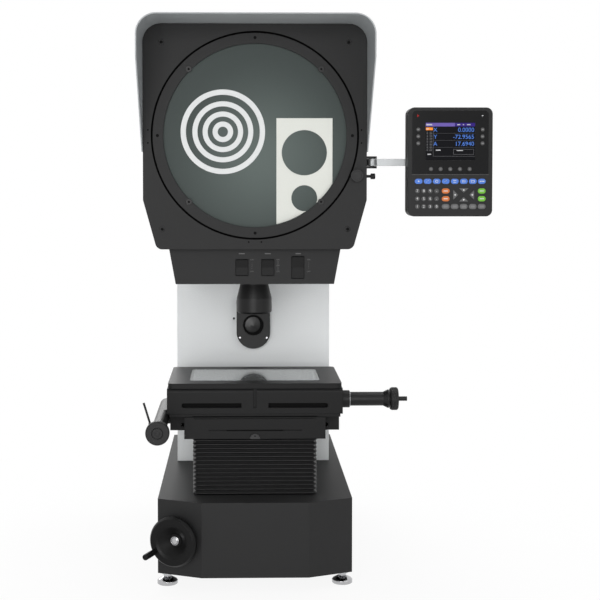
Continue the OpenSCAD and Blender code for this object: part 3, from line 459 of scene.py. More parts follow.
def ground_glass(name, middle, rim, glow):
    material, tree, shader = new_material(name)
    place = tree.nodes.new("ShaderNodeTexCoord").outputs["Object"]
    away = tree.nodes.new("ShaderNodeVectorMath")
    away.operation = "DISTANCE"
    tree.links.new(place, away.inputs[0])
    away.inputs[1].default_value = SCREEN_MID + GLOW_SHIFT
    ramp = tree.nodes.new("ShaderNodeMapRange")
    ramp.interpolation_type = "SMOOTHSTEP"
    ramp.inputs["From Max"].default_value = GLOW_REACH
    tree.links.new(away.outputs["Value"], ramp.inputs["Value"])
    colour = mix_colour(tree, ramp.outputs[0], (*middle, 1), (*rim, 1))
    speck = noise(tree, FROST_SCALE, 2.0, place)
    frosted = mix_colour(tree, math_node(tree, "MULTIPLY", speck, FROST_SHARE), colour, FROST_COLOUR)
    tree.links.new(frosted, shader.inputs["Base Color"])
    tree.links.new(frosted, shader.inputs["Emission Color"])
    shader.inputs["Emission Strength"].default_value = glow
    shader.inputs["Roughness"].default_value = 0.55
    shader.inputs["Specular IOR Level"].default_value = 0.25
    add_bump(tree, shader, speck, FROST_BUMP, FROST_HEIGHT)
    return material


FINISH["stage_pane"] = clear_glass("stage_pane", (0.78, 0.82, 0.82), 0.03, 0.94)
FINISH["lens_glass"] = clear_glass("coated_lens", (0.3, 0.33, 0.36), 0.04, 0.4, 1.6)
FINISH["ground_glass"] = ground_glass("ground_screen", (0.060, 0.078, 0.072), (0.012, 0.020, 0.018), 0.2)
FINISH["mirror"] = finish("silvered_mirror", (0.85, 0.86, 0.87), 0.03, scale=300, bump=0.0, drift=0.02, spread=0.02,
                          metallic=1.0)
print("glass: stage pane, lenses, ground screen and mirrors")

# %% [markdown]
# Every solid now gets its finish. The record names a material slot for each node, and a few nodes wear one of
# their own: the rockers, the handwheel with its grip, and the shaded lens of the surface light.

# %% dress the solids
FINISH["display"] = finish("display_dark", (0.002, 0.002, 0.0035), 0.2, scale=3000, bump=0.02, rub=grey(0.004),
                           specular=0.1)
FINISH["keys"] = finish("grey_key", (0.09, 0.093, 0.097), 0.4, scale=2600, bump=0.08)
rocker_black = finish("rocker_black", (0.006, 0.006, 0.0061), 0.45, scale=1800, bump=0.1, drift=0.1, rub=grey(0.02),
                      specular=0.12)
wheel_black = finish("wheel_black", (0.0045, 0.0045, 0.0046), 0.4, scale=1500, bump=0.08, rub=grey(0.03),
                     specular=0.14)
shaded_lens = finish("shaded_lens", (0.012, 0.012, 0.0125), 0.3, bump=0.02, drift=0.1, specular=0.3)
OWN_FINISH = {"rocker_contour": rocker_black, "rocker_surface": rocker_black, "rocker_power": rocker_black,
              "focus_wheel": wheel_black, "crank_grip": wheel_black, "surface_lens": shaded_lens}

for part in frame["record"]["subparts"]:
    wearer = NODE[part["node"]]
    if not wearer.material_slots:
        wearer.data.materials.append(None)
    for holder in wearer.material_slots:
        holder.material = OWN_FINISH.get(part["node"], FINISH[part["material_slot"]])

# %% [markdown]
# Flat details such as prints, display fields and key caps are outlines given a little thickness.
# A filled 2D curve handles holes and text alike, so one helper draws it and turns it into a mesh
# that faces the front. Round and pleated pieces are rows of rings with faces between them.

# %% helpers for new pieces
PRINT_HALF = 0.05 * MM
SAME_POINT = 1e-7


def fill_mesh(shape, mesh):
    """Writes a finished shape into a mesh, with its faces turned outwards."""
    bmesh.ops.recalc_face_normals(shape, faces=shape.faces)
    shape.to_mesh(mesh)
    shape.free()
    return mesh


def stand_up(mesh, centre, front_y):
    """Turns a mesh drawn in X and Y to stand in X and Z, its outer face at front_y."""
    top = max(v.co.z for v in mesh.vertices)
    for v in mesh.vertices:
        v.co = Vector((centre[0] + v.co.x, front_y + (top - v.co.z), centre[1] + v.co.y))
    shape = bmesh.new()
    shape.from_mesh(mesh)
    bmesh.ops.remove_doubles(shape, verts=shape.verts, dist=SAME_POINT)
    fill_mesh(shape, mesh)


def join_rings(shape, rings):
    """Faces between each ring of points and the next."""
    for near, far in zip(rings, rings[1:]):
        count = len(near)
        for k in range(count):
            shape.faces.new((near[k], near[(k + 1) % count], far[(k + 1) % count], far[k]))


def add_piece(name, mesh, material, body):
    mesh.materials.clear()
    mesh.materials.append(material)
    obj = new_object(name, mesh)
    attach(obj, body)
    return obj


def curve_mesh(name, data):
    holder = new_object(name + "_outline", data)
    ready = bpy.context.evaluated_depsgraph_get()
    mesh = bpy.data.meshes.new_from_object(holder.evaluated_get(ready))
    bpy.data.objects.remove(holder)
    mesh.name = name
    return mesh


def flat_piece(name, loops, centre, front_y, thick, material, body, dome=0.0):
    """A front-facing plate from closed outlines of (x, z) points; later loops are holes."""
    data = bpy.data.curves.new(name, "CURVE")
    data.dimensions = "2D"
    data.fill_mode = "BOTH"
    data.extrude = thick / 2
    data.bevel_depth = dome
    data.bevel_resolution = 2
    data.offset = -dome
    for loop in loops:
        line = data.splines.new("POLY")
        line.points.add(len(loop) - 1)
        for point, (x, z) in zip(line.points, loop):
            point.co = (x, z, 0, 1)
        line.use_cyclic_u = True
    mesh = curve_mesh(name, data)
    stand_up(mesh, centre, front_y)
    return add_piece(name, mesh, material, body)


def text_piece(name, words, centre, front_y, height, material, body, align="CENTER"):
    data = bpy.data.curves.new(name, "FONT")
    data.body = words
    data.size = height
    data.align_x = align
    data.align_y = "CENTER"
    data.extrude = PRINT_HALF
    mesh = curve_mesh(name, data)
    stand_up(mesh, centre, front_y)
    return add_piece(name, mesh, material, body)


def circle_loop(x, z, r, count=64, start=0.0, stop=360.0):
    steps = count if stop - start >= 360 else count + 1
    return [(x + r * math.cos(math.radians(start + (stop - start) * k / count)),
             z + r * math.sin(math.radians(start + (stop - start) * k / count))) for k in range(steps)]


def pill_loop(x, z, w, h, r, count=8):
    loop = []
    for cx, cz, start in ((1, 1, 0), (-1, 1, 90), (-1, -1, 180), (1, -1, 270)):
        loop += circle_loop(x + cx * (w / 2 - r), z + cz * (h / 2 - r), r, count, start, start + 90)
    return loop


def glowing(name, colour, strength, rough=0.4):
    """A finish that also gives off a little of its own colour."""
    material = finish(name, colour, rough, scale=2400, bump=0.05, drift=0.06, rub=colour, specular=0.15)
    shader = material.node_tree.nodes["Principled BSDF"]
    shader.inputs["Emission Color"].default_value = (*colour, 1)
    shader.inputs["Emission Strength"].default_value = strength
    return material


print("helpers ready")

# %% [markdown]
# The bellows is a pleated cloth box between the base and the lift table. In the solid it is a stiff zigzag.
# Here it is a skin of rounded loops, one for each ridge and valley, with soft corners and a rolled fold.

# %% bellows
BELLOWS_LOW, BELLOWS_HIGH = corners("bellows")
PLEATS = 14
PLEAT_DEPTH = 5 * MM
RIDGE_CORNER = 9 * MM
CORNER_POINTS = 6
# painted highlight: the ridges of the folds are lighter where the light from above catches them
RIDGE_HIGHLIGHT = (0.05, 0.05, 0.051)


def bellows_loop(inset, corner):
    width = BELLOWS_HIGH.x - BELLOWS_LOW.x - 2 * inset
    depth = BELLOWS_HIGH.y - BELLOWS_LOW.y - 2 * inset
    return pill_loop(0, 0, width, depth, corner, CORNER_POINTS)


def make_bellows():
    pitch = (BELLOWS_HIGH.z - BELLOWS_LOW.z) / PLEATS
    # ridge and valley are each two close rings, so the fold has a small radius
    roll = PLEAT_DEPTH * 0.1
    profile = [(PLEAT_DEPTH, 0.04), (roll, 0.42), (0.0, 0.5), (roll, 0.58), (PLEAT_DEPTH, 0.96)]
    levels = [(inset, BELLOWS_LOW.z + (k + share) * pitch) for k in range(PLEATS) for inset, share in profile]
    shape = bmesh.new()
    rings = []
    ridge = shape.verts.layers.float_color.new("ridge")
    for inset, height in levels:
        loop = bellows_loop(inset, RIDGE_CORNER - inset * 0.8)
        ring = [shape.verts.new((x, y, height)) for x, y in loop]
        for point in ring:
            point[ridge] = (1, 1, 1, 1) if inset == 0 else (0, 0, 0, 1)
        rings.append(ring)
    join_rings(shape, rings)
    shape.faces.new(list(reversed(rings[0])))
    shape.faces.new(rings[-1])
    for face in shape.faces:
        face.smooth = len(face.verts) == 4
    mesh = fill_mesh(shape, bpy.data.meshes.new("bellows_skin"))
    mesh.materials.append(FINISH["bellows_cloth"])
    skin = new_object("bellows_skin", mesh)
    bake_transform(skin)
    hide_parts("bellows")
    return skin


def paint_ridge_highlights(material, colour):
    """Lightens the cloth along the ridge mark of the mesh: a painted highlight where light from above catches each
    fold.
    """
    tree = material.node_tree
    shader = tree.nodes["Principled BSDF"]
    mark = tree.nodes.new("ShaderNodeAttribute")
    mark.attribute_name = "ridge"
    cloth = shader.inputs["Base Color"].links[0].from_socket
    tree.links.new(mix_colour(tree, mark.outputs["Fac"], cloth, (*colour, 1)), shader.inputs["Base Color"])


bellows_skin = make_bellows()
paint_ridge_highlights(FINISH["bellows_cloth"], RIDGE_HIGHLIGHT)
print("bellows", len(bellows_skin.data.vertices), "points")

# %% [markdown]
# The projector throws the shadow of a workpiece on the ground glass: a set of rings and a plate with two bores.
# It is light, not paint, and it stays put when the screen ring turns. So it is a layer of thin shapes just
# in front of the glass, carried by the body of the machine, with a soft glow.

# %% projected picture
IMAGE_R = 153.2 * MM
IMAGE_Y = SCREEN_LOW.y - 0.15 * MM
IMAGE_THICK = 0.1 * MM
RING_CENTRE = (-54 * MM, 6.5 * MM)
RING_SIZES = ((8.6, 17.3), (25.5, 34.1), (42.6, 51.2), (62.0, 71.0))
PLATE_LEFT, PLATE_RIGHT, PLATE_TOP = 36 * MM, 130.4 * MM, 29.5 * MM
BIG_BORE = (83 * MM, -28.5 * MM, 38 * MM)
SMALL_BORE = (83 * MM, -105 * MM, 21.8 * MM)
lit = glowing("projected_light", (0.61, 0.62, 0.58), 0.08, 0.6)
lit_cool = glowing("projected_light_cool", (0.63, 0.64, 0.64), 0.08, 0.6)


def rim_angle(x, z):
    return math.degrees(math.atan2(z, x))


def plate_outline():
    """The plate, cut by the rim of the screen, with the small bore opening into the rim."""
    bx, bz, br = SMALL_BORE
    reach = math.hypot(bx, bz)
    along = (IMAGE_R ** 2 - br ** 2 + reach ** 2) / (2 * reach)
    half = math.sqrt(IMAGE_R ** 2 - along ** 2)
    spread = math.degrees(math.atan2(half, along))
    middle = rim_angle(bx, bz)
    first, last = middle + spread, middle - spread
    right_end = rim_angle(PLATE_RIGHT, -math.sqrt(IMAGE_R ** 2 - PLATE_RIGHT ** 2))
    left_end = rim_angle(PLATE_LEFT, -math.sqrt(IMAGE_R ** 2 - PLATE_LEFT ** 2))
    # the same two points, as angles seen from the bore's own centre
    bore_start, bore_stop = (rim_angle(IMAGE_R * math.cos(math.radians(angle)) - bx,
                                       IMAGE_R * math.sin(math.radians(angle)) - bz) for angle in (first, last))
    loop = [(PLATE_LEFT, PLATE_TOP), (PLATE_RIGHT, PLATE_TOP)]
    loop += circle_loop(0, 0, IMAGE_R, 12, right_end, first)
    loop += circle_loop(bx, bz, br, 48, bore_start, bore_stop + 360)[1:-1]
    loop += circle_loop(0, 0, IMAGE_R, 16, last, left_end)
    return loop


for number, (inner, outer) in enumerate(RING_SIZES, 1):
    flat_piece(f"image_ring_{number}", [circle_loop(0, 0, outer * MM, 96), circle_loop(0, 0, inner * MM, 96)],
               (SCREEN_MID.x + RING_CENTRE[0], SCREEN_MID.z + RING_CENTRE[1]), IMAGE_Y, IMAGE_THICK,
               lit_cool, "root")
flat_piece("image_plate", [plate_outline(), circle_loop(*BIG_BORE, 96)], (SCREEN_MID.x, SCREEN_MID.z),
           IMAGE_Y, IMAGE_THICK, lit, "root")
print("picture:", len(RING_SIZES), "rings and a plate")

# %% [markdown]
# The readout's face carries most of the colour. Its key caps are low domes in five colours, and they take the
# place of the plain raised keys of the solid. Caps of one colour are one piece, because they share one finish.

# %% key caps
FACE_LOW, FACE_HIGH = corners("readout_bezel")
FACE_X, FACE_Z, FACE_Y = (FACE_LOW.x + FACE_HIGH.x) / 2, (FACE_LOW.z + FACE_HIGH.z) / 2, FACE_LOW.y
KEY_RISE, KEY_DOME = 0.8 * MM, 0.3 * MM
PILL = (13.2 * MM, 8.8 * MM, 4.3 * MM)


def smooth_finish(name, colour, rough, bump=0.0, specular=0.5):
    """A fine, even finish for keys, print and small fasteners."""
    return finish(name, colour, rough, scale=2000, bump=bump, drift=0.05, specular=specular)


key_blue = smooth_finish("key_blue", (0.037, 0.146, 0.545), 0.35, 0.03)
key_orange = smooth_finish("key_orange", (0.525, 0.122, 0.006), 0.35, 0.03)
key_green = smooth_finish("key_green", (0.118, 0.40, 0.009), 0.35, 0.03)
key_grey = smooth_finish("key_grey", (0.075, 0.075, 0.077), 0.4, 0.03)
key_dark = smooth_finish("key_dark", (0.036, 0.036, 0.037), 0.42, 0.03)


def key_group(name, loops, material):
    piece = flat_piece(name, loops, (FACE_X, FACE_Z), FACE_Y - KEY_RISE, KEY_RISE - 2 * KEY_DOME,
                       material, "readout", KEY_DOME)
    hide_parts("readout_keys")


KEY_STEP = 15.3
ROWS = [(-48.9 - 13.15 * row) * MM for row in range(3)]
COLUMNS = [(-55.6 + 10.87 * column) * MM for column in range(4)]
PILL_X = [(k - 3.5) * KEY_STEP * MM for k in range(8)]
BLUE_Z = -32.6 * MM
SOFT_X, SOFT_Z = [k * 16.4 * MM for k in range(-2, 3)], -11.9 * MM
SIDE_Z = [(54.8 - 11.65 * k) * MM for k in range(3)]
SIDE_KEYS = [(side * 54.4 * MM, z) for side in (-1, 1) for z in SIDE_Z]
ARROW_AT = (1.5 * KEY_STEP * MM, ROWS[0] - 6.6 * MM)


def arrow_loop(side):
    """A triangle that points to the middle; left and right ones stand further out."""
    near, far = (3.8, 11.2) if side % 2 == 0 else (9.6, 17.6)
    turn = math.radians(90 * side)
    points = [(-8.0, far), (8.0, far), (0.0, near)]
    return [(ARROW_AT[0] + (x * math.cos(turn) - z * math.sin(turn)) * MM,
             ARROW_AT[1] + (x * math.sin(turn) + z * math.cos(turn)) * MM) for x, z in points]


KEYS = {"keys_blue": (key_blue, [pill_loop(x, BLUE_Z, *PILL) for x in PILL_X]),
        "keys_orange": (key_orange, [pill_loop(PILL_X[3], z, *PILL) for z in ROWS[:2]]),
        "keys_green": (key_green, [pill_loop(PILL_X[7], z, *PILL) for z in ROWS[:2]]),
        "keys_grey": (key_grey, [pill_loop(x, ROWS[2], *PILL) for x in PILL_X[3:]]
                      + [arrow_loop(side) for side in range(4)]),
        "keys_dark": (key_dark, [circle_loop(x, z, 3.9 * MM, 24) for x in COLUMNS for z in ROWS]
                      + [circle_loop(x, SOFT_Z, 3.5 * MM, 24) for x in SOFT_X]
                      + [circle_loop(x, z, 3.3 * MM, 24) for x, z in SIDE_KEYS])}
for key_name, (key_finish, key_loops) in KEYS.items():
    key_group(key_name, key_loops, key_finish)
print("key caps:", sum(len(loops) for _, loops in KEYS.values()))

# %% [markdown]
# Digits are text turned into a mesh. The other legends are small bars and circles, laid out from the places of the
# keys. All of them stand a hair in front of the caps, so that no two faces lie in one plane.
# A gloss film covers the upper field. It is one more flat outline, with a hole for the display.

# %% key legends and film
film_black = finish("film_black", (0.004, 0.004, 0.0044), 0.2, scale=1500, bump=0.01, drift=0.05, specular=0.16)
film_edge = smooth_finish("film_edge", grey(0.04), 0.4)
print_white = smooth_finish("print_white", grey(0.62), 0.5)
print_grey = smooth_finish("print_grey", grey(0.20), 0.5)
DISPLAY_Z = 35 * MM
LEGEND_Y = FACE_Y - KEY_RISE - 0.08 * MM
MARK_THICK, FILM_THICK = 0.06 * MM, 0.25 * MM
LEGENDS = ("789-", "456.", "1230")
for row, words in zip(ROWS, LEGENDS):
    for column, mark in zip(COLUMNS, words):
        text_piece(f"legend_{mark}_{round(column / MM)}", mark, (FACE_X + column, FACE_Z + row), LEGEND_Y,
                   6.2 * MM, print_white, "readout")


def on_face(points):
    return [(x * MM, z * MM) for x, z in points]


def mark_group(name, loops, material, front=LEGEND_Y, thick=MARK_THICK):
    return flat_piece(name, loops, (FACE_X, FACE_Z), front, thick, material, "readout")


def bar(x, z, w, h):
    return [(x - w / 2, z - h / 2), (x + w / 2, z - h / 2), (x + w / 2, z + h / 2), (x - w / 2, z + h / 2)]


def bars(rows):
    """Bars from rows of (x, z, width, height) in mm."""
    return [bar(*(size * MM for size in row)) for row in rows]


def slanted(x, z, length, thick):
    half, side = length * 0.35, thick * 0.7
    return [(x - half, z - half + side), (x - half, z - half), (x + half - side, z + half), (x + half, z + half)]


pill_marks = [circle_loop(PILL_X[0], BLUE_Z, 1.1 * MM, 16), slanted(PILL_X[1], BLUE_Z, 6 * MM, 1 * MM),
              circle_loop(PILL_X[2], BLUE_Z, 2.4 * MM, 24), circle_loop(PILL_X[2], BLUE_Z, 1.7 * MM, 24),
              slanted(PILL_X[3], BLUE_Z, 5 * MM, 2 * MM)]
pill_marks += [bar(PILL_X[4], BLUE_Z + dz * MM, 5 * MM, 0.8 * MM) for dz in (-1.5, 1.5)]
pill_marks += [bar(PILL_X[5] + dx * MM, BLUE_Z, 0.8 * MM, 4 * MM) for dx in (-2, 0, 2)]
pill_marks += [bar(PILL_X[6], BLUE_Z, 6 * MM, 3.6 * MM), bar(PILL_X[6], BLUE_Z, 4.6 * MM, 2.2 * MM)]
pill_marks += [bar(PILL_X[7] + dx * MM, BLUE_Z, 2.2 * MM, 1.6 * MM) for dx in (-2.6, 0.4, 3.0)]
pill_marks += [bar(x, z, 7 * MM, 1.5 * MM) for x in (PILL_X[3], PILL_X[7]) for z in ROWS[:2]]
mark_group("key_marks", pill_marks, print_white)
mark_group("key_marks_grey", [bar(x, ROWS[2] + dz * MM, 7 * MM, 0.9 * MM) for x in PILL_X[3:] for dz in (-0.9, 0.9)]
           + [bar(x, z, 3.6 * MM, 1.2 * MM) for x, z in SIDE_KEYS]
           + [bar(x, SOFT_Z, 3 * MM, 1.2 * MM) for x in SOFT_X], print_grey)
mark_group("arrow_marks", [circle_loop(ARROW_AT[0] + x * MM, ARROW_AT[1] + z * MM, 1.3 * MM, 16)
                           for x, z in ((0, 8.3), (0, -8.3), (14.6, 0), (-14.6, 0))], print_white)

FILM_LOOP = circle_loop(57 * MM, 79 * MM, 8 * MM, 8, 0, 90) + circle_loop(-57 * MM, 79 * MM, 8 * MM, 8, 90, 180)
FILM_LOOP += on_face([(-65, -20.4), (65, -20.4)])
mark_group("upper_film", [FILM_LOOP, bar(0, DISPLAY_Z, 84.2 * MM, 63.2 * MM)], film_black,
           FACE_Y - FILM_THICK, FILM_THICK)
mark_group("film_edge", [bar(0, -21.2 * MM, 130 * MM, 0.7 * MM)], film_edge, FACE_Y - 0.1 * MM)
print("legends on the keys, film over the upper field")

# %% [markdown]
# The display is a lit panel. Its glyphs are thin shapes just in front of the panel that give off a little light,
# so they read as a screen and not as print. The three axes show the values seen in the photograph.

# %% readout display
GLYPH_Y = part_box("readout_display")[0][1] - 0.08 * MM
glyph_blue = glowing("glyph_blue", (0.06, 0.16, 0.52), 0.35)
glyph_white = glowing("glyph_white", (0.42, 0.42, 0.43), 0.25)
glyph_grey = glowing("glyph_grey", (0.12, 0.12, 0.125), 0.25)
head_purple = glowing("head_purple", (0.10, 0.07, 0.27), 0.35)
head_indigo = glowing("head_indigo", (0.016, 0.004, 0.12), 0.4)
tab_orange = glowing("tab_orange", (0.70, 0.20, 0.02), 0.35)
lamp_red = glowing("lamp_red", (0.32, 0.008, 0.008), 0.25)


def glyphs(name, loops, material, depth=0.0):
    return flat_piece(name, loops, (FACE_X, FACE_Z + DISPLAY_Z), GLYPH_Y - depth, 0.05 * MM, material,
                      "readout")


WHITE_BARS = ((-36, 28, 10, 2.2), (-38.6, 20.9, 4, 1.4), (-20.5, -15, 8, 1.8), (-35.6, -22, 6, 1.6),
              (16, -15.6, 11, 1.4), (14, 28, 5, 1.6), (22, 28, 2, 1.6), (31, 28, 6, 1.6))
FRAME_LINES = ((-29, -0.5, 0.35, 50), (6.4, -25.3, 70.4, 0.35), (6.4, 13.4, 70.4, 0.2), (6.4, 1.5, 70.4, 0.2),
               (6.4, -10.3, 70.4, 0.2), (22.5, -17.8, 34.6, 9), (22.5, -17.8, 33.8, 8.2))
LIST_LINES = tuple((x, 15.4 - 2.6 * k, w, 0.8) for k in range(13) for x, w in ((-39, 2.6), (-33, 4.6)))
glyphs("display_head", bars([(-17, 28, 49.6, 6.2)]), head_purple)
glyphs("display_head_right", bars([(24.9, 28, 33.6, 6.2)]), head_indigo)
glyphs("display_tab", bars([(-35.6, 20.9, 11.8, 4.6)]), tab_orange)
glyphs("display_white", bars(WHITE_BARS), glyph_white, 0.06 * MM)
glyphs("display_lines", bars(FRAME_LINES + LIST_LINES), glyph_grey)
for height, letter, number in ((19.0, "X", "0.0000"), (7.2, "Y", "-72.9565"), (-4.6, "A", "17.6940")):
    text_piece(f"axis_{letter}", letter, (FACE_X - 25.5 * MM, FACE_Z + DISPLAY_Z + height * MM), GLYPH_Y,
               9.6 * MM, glyph_blue, "readout")
    text_piece(f"value_{letter}", number, (FACE_X + 40.4 * MM, FACE_Z + DISPLAY_Z + height * MM), GLYPH_Y,
               10.2 * MM, glyph_blue, "readout", "RIGHT")
LAMP_Y = FACE_Y - 0.4 * MM
mark_group("alarm_lamp", [on_face([(-56.2, 75.8), (-53.0, 78.0), (-56.2, 80.2)])], lamp_red, LAMP_Y)
mark_group("power_lamp", [circle_loop(54.2 * MM, 78 * MM, 1.2 * MM, 16)], glyph_white, LAMP_Y)
print("display: three axes")

# %% [markdown]
# The panel box has a plain bar above each switch and a small scale with ON and OFF beside it. This is print,
# so the pieces are thin and set on the face of the box.

# %% switch legends
PANEL_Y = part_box("panel_box")[0][1]
PRINT_LIFT = 0.05 * MM
legend_grey = smooth_finish("legend_grey", grey(0.13), 0.6, specular=0.2)


def marks(name, loops, front_y, material, body, thick=MARK_THICK):
    return flat_piece(name, loops, (0, 0), front_y, thick, material, body)


SCALE_TOP, SCALE_LENGTH = 211.4, 20.2
SCALES = ((-5.1, ("ON", "OFF")), (39.2, ("ON", "OFF", "ON")), (91.4, ("ON", "OFF")))
panel_marks = bars([(-22.4, 221.7, 10, 1.6), (21.8, 221.7, 10, 1.6), (73.4, 221.7, 9, 1.6)])
for x, words in SCALES:
    step = SCALE_LENGTH / (len(words) - 1)
    for k, word in enumerate(words):
        text_piece(f"switch_{word}_{round(x)}_{k}", word, (x * MM, (SCALE_TOP - k * step) * MM), PANEL_Y - PRINT_LIFT,
                   3.4 * MM, legend_grey, "root")
    for k in range(len(words) - 1):
        middle = SCALE_TOP - (k + 0.5) * step
        panel_marks += bars([(x, middle + dz * step / 20, 0.7, 1.1) for dz in (-4.5, -1.5, 1.5, 4.5)])
marks("panel_marks", panel_marks, PANEL_Y - PRINT_LIFT, legend_grey, "root")
print("switch legends:", len(SCALES), "scales")

# %% [markdown]
# Screws, pins and sockets are small circles on the faces that they sit in; the black of the sockets is painted shade.
# Those on the screen ring ride on the ring, so that they turn with it, and the others stay with the machine. A black
# line is the painted shade of the gap round the ring, and the rear cover has six domed screws.

# %% screws, sockets and painted shade
FRONT_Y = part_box("front_plate")[0][1]
RING_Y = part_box("screen_ring")[0][1]
LIGHT_LOW, LIGHT_HIGH = corners("surface_plate")
screw_black_and_painted_shade = finish("screw_black_and_painted_shade", grey(0.003), 0.6, scale=2000, bump=0.05, drift=0.05, rub=grey(0.004),
                     specular=0.05)
screw_bright = finish("screw_bright", (0.45, 0.45, 0.46), 0.25, scale=2000, bump=0.02, drift=0.05, metallic=1.0)
ring_gap_painted_shade = finish("ring_gap_painted_shade", grey(0.0008), 0.9, scale=1500, bump=0.02, drift=0.02, rub=grey(0.001), specular=0.02)


def round_screen(radius, angles, r, count):
    """Circles on a pitch circle round the screen's centre."""
    return [circle_loop(SCREEN_MID.x + radius * math.cos(math.radians(angle)),
                        SCREEN_MID.z + radius * math.sin(math.radians(angle)), r, count) for angle in angles]


RING_R = 171.5 * MM
# painted shade: a black ring on the front plate stands for the shade in the gap round the screen ring
marks("ring_gap", [circle_loop(SCREEN_MID.x, SCREEN_MID.z, RING_R + 3.2 * MM, 160),
                   circle_loop(SCREEN_MID.x, SCREEN_MID.z, RING_R + 0.15 * MM, 160)],
      FRONT_Y - PRINT_LIFT, ring_gap_painted_shade, "root")
SCREW_LOW, SCREW_HIGH = corners("plate_screws")
SCREW_R, SCREW_LOW_X = 4.2 * MM, 156 * MM
# painted shade: black hexagons stand for the sockets in the plate screws
plate_sockets = [circle_loop(side * x, z, 3 * MM, 6) for side in (-1, 1)
                 for x, z in ((SCREW_HIGH.x - SCREW_R, SCREW_HIGH.z - SCREW_R), (SCREW_LOW_X, SCREW_LOW.z + SCREW_R))]
marks("plate_sockets", plate_sockets, SCREW_LOW.y - PRINT_LIFT, screw_black_and_painted_shade, "root")
CLIP_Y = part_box("screen_clips")[0][1]
# painted shade: dark circles stand for the sockets of the clip screws
marks("clip_sockets", round_screen(157 * MM, (45, 135, 225, 315), 1.9 * MM, 20), CLIP_Y - PRINT_LIFT, screw_black_and_painted_shade,
      "screen")
marks("ring_screws", round_screen(163.5 * MM, (0, 90, 180, 270), 2.6 * MM, 24), RING_Y - PRINT_LIFT, screw_black_and_painted_shade,
      "screen")
PINS = ((-179.5, 9.5), (-179.5, -12.3), (178.9, 9.5), (178.9, -12.3), (-10.7, -178.6), (10.7, -178.6))
plate_pins = [circle_loop(SCREEN_MID.x + x * MM, SCREEN_MID.z + z * MM, 1.5 * MM, 16) for x, z in PINS]
marks("plate_pins", plate_pins, FRONT_Y - PRINT_LIFT, screw_black_and_painted_shade, "root")

LIGHT_X, LIGHT_SCREW_Z = (LIGHT_LOW.x + LIGHT_HIGH.x) / 2, LIGHT_LOW.z + 21 * MM
SCREW_THICK, LENS_SHADE_THICK, HOLE_SHADE_THICK = 0.3 * MM, 0.1 * MM, 0.08 * MM
marks("light_screws", [circle_loop(LIGHT_X + side * 25.6 * MM, LIGHT_SCREW_Z, 1.7 * MM, 20) for side in (-1, 1)],
      LIGHT_LOW.y - SCREW_THICK, screw_bright, "root", SCREW_THICK)
LENS_MID = sum(corners("surface_lens"), Vector()) / 2
# painted shadow: a dark ring between the lens and its bore, wider at the lower right where the bore shades the lens
marks("lens_recess_shade", [circle_loop(LENS_MID.x, LENS_MID.z, 19.4 * MM),
                   circle_loop(LENS_MID.x - 2 * MM, LENS_MID.z + 1.4 * MM, 15.6 * MM)],
      LIGHT_LOW.y - LENS_SHADE_THICK, screw_black_and_painted_shade, "root", LENS_SHADE_THICK)
COLUMN_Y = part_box("column")[0][1]
# painted shade: a dark disc on the column's front stands for the shade in a hole
marks("column_hole_shade", [circle_loop(-37.1 * MM, 81.6 * MM, 2.1 * MM, 24)], COLUMN_Y - HOLE_SHADE_THICK, screw_black_and_painted_shade,
      "root", HOLE_SHADE_THICK)
COVER_LOW, COVER_HIGH = corners("column_cover")
COVER_EDGE = 12 * MM
cover_points = [(x, z) for x in (COVER_LOW.x + COVER_EDGE, COVER_HIGH.x - COVER_EDGE)
                for z in (COVER_LOW.z + COVER_EDGE, (COVER_LOW.z + COVER_HIGH.z) / 2, COVER_HIGH.z - COVER_EDGE)]
HEAD_THICK, HEAD_DOME = 0.6 * MM, 0.4 * MM
flat_piece("cover_screws", [circle_loop(x, z, 4 * MM, 24) for x, z in cover_points], (0, 0), COVER_HIGH.y, HEAD_THICK,
           screw_bright, "root", HEAD_DOME)
# painted shade: black hexagons stand for the sockets in the domed cover screws
marks("cover_sockets", [circle_loop(x, z, 1.9 * MM, 6) for x, z in cover_points],
      COVER_HIGH.y + HEAD_THICK + 2 * HEAD_DOME, screw_black_and_painted_shade, "root", 0.05 * MM)
print("screws and rims on ring, plate, surface light and rear cover")

# %% [markdown]
# The stage shows dark strips of painted shade: at the bottom of the two clamp slots, in the gap line above the lift
# table and in its groove. Wiper caps sit on the ends of the side rails. A half-round key with its screw closes the
# lift table's front.

# %% stage trim
# black for the painted shade strips of the stage, for the lift key's screw and for the rail wipers
painted_shade_and_wiper_black = finish("painted_shade_and_wiper_black", grey(0.0035), 0.7, scale=1500, bump=0.05, drift=0.05, rub=grey(0.003),
                    specular=0.05)
key_face = finish("key_face", (0.024, 0.024, 0.0245), 0.4, scale=1500, bump=0.05, drift=0.05, rub=grey(0.07),
                  specular=0.25)
TABLE_LOW, CARRIAGE_LOW, LIFT_LOW = (corners(node)[0] for node in ("x_table", "y_carriage", "lift_table"))
RAIL_LOW, RAIL_HIGH = corners("y_rails")
SLOT_Z = TABLE_LOW.z + (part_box("x_table")[1][2] - TABLE_LOW.z) / 3
SLOT_IN, SLOT_OUT, SLOT_R, SLOT_DEEP = 23.4 * MM, 124.6 * MM, 3.7 * MM, 6 * MM
SLOT_SHADE_THICK, STRIP_THICK = 0.2 * MM, 0.1 * MM
KEY_R = 8.7 * MM


def slot_loop(side):
    """A slot's outline: square at its inner end, round at its outer end."""
    end = circle_loop(SLOT_OUT - SLOT_R, SLOT_Z, SLOT_R, 12, -90, 90)
    return [(side * x, z) for x, z in [(SLOT_IN, SLOT_Z - SLOT_R)] + end + [(SLOT_IN, SLOT_Z + SLOT_R)]]


# painted shade: a dark strip at the bottom of each clamp slot stands for the shade inside it
marks("slot_shade", [slot_loop(side) for side in (-1, 1)], TABLE_LOW.y + SLOT_DEEP - SLOT_SHADE_THICK, painted_shade_and_wiper_black,
      "x_stage", SLOT_SHADE_THICK)
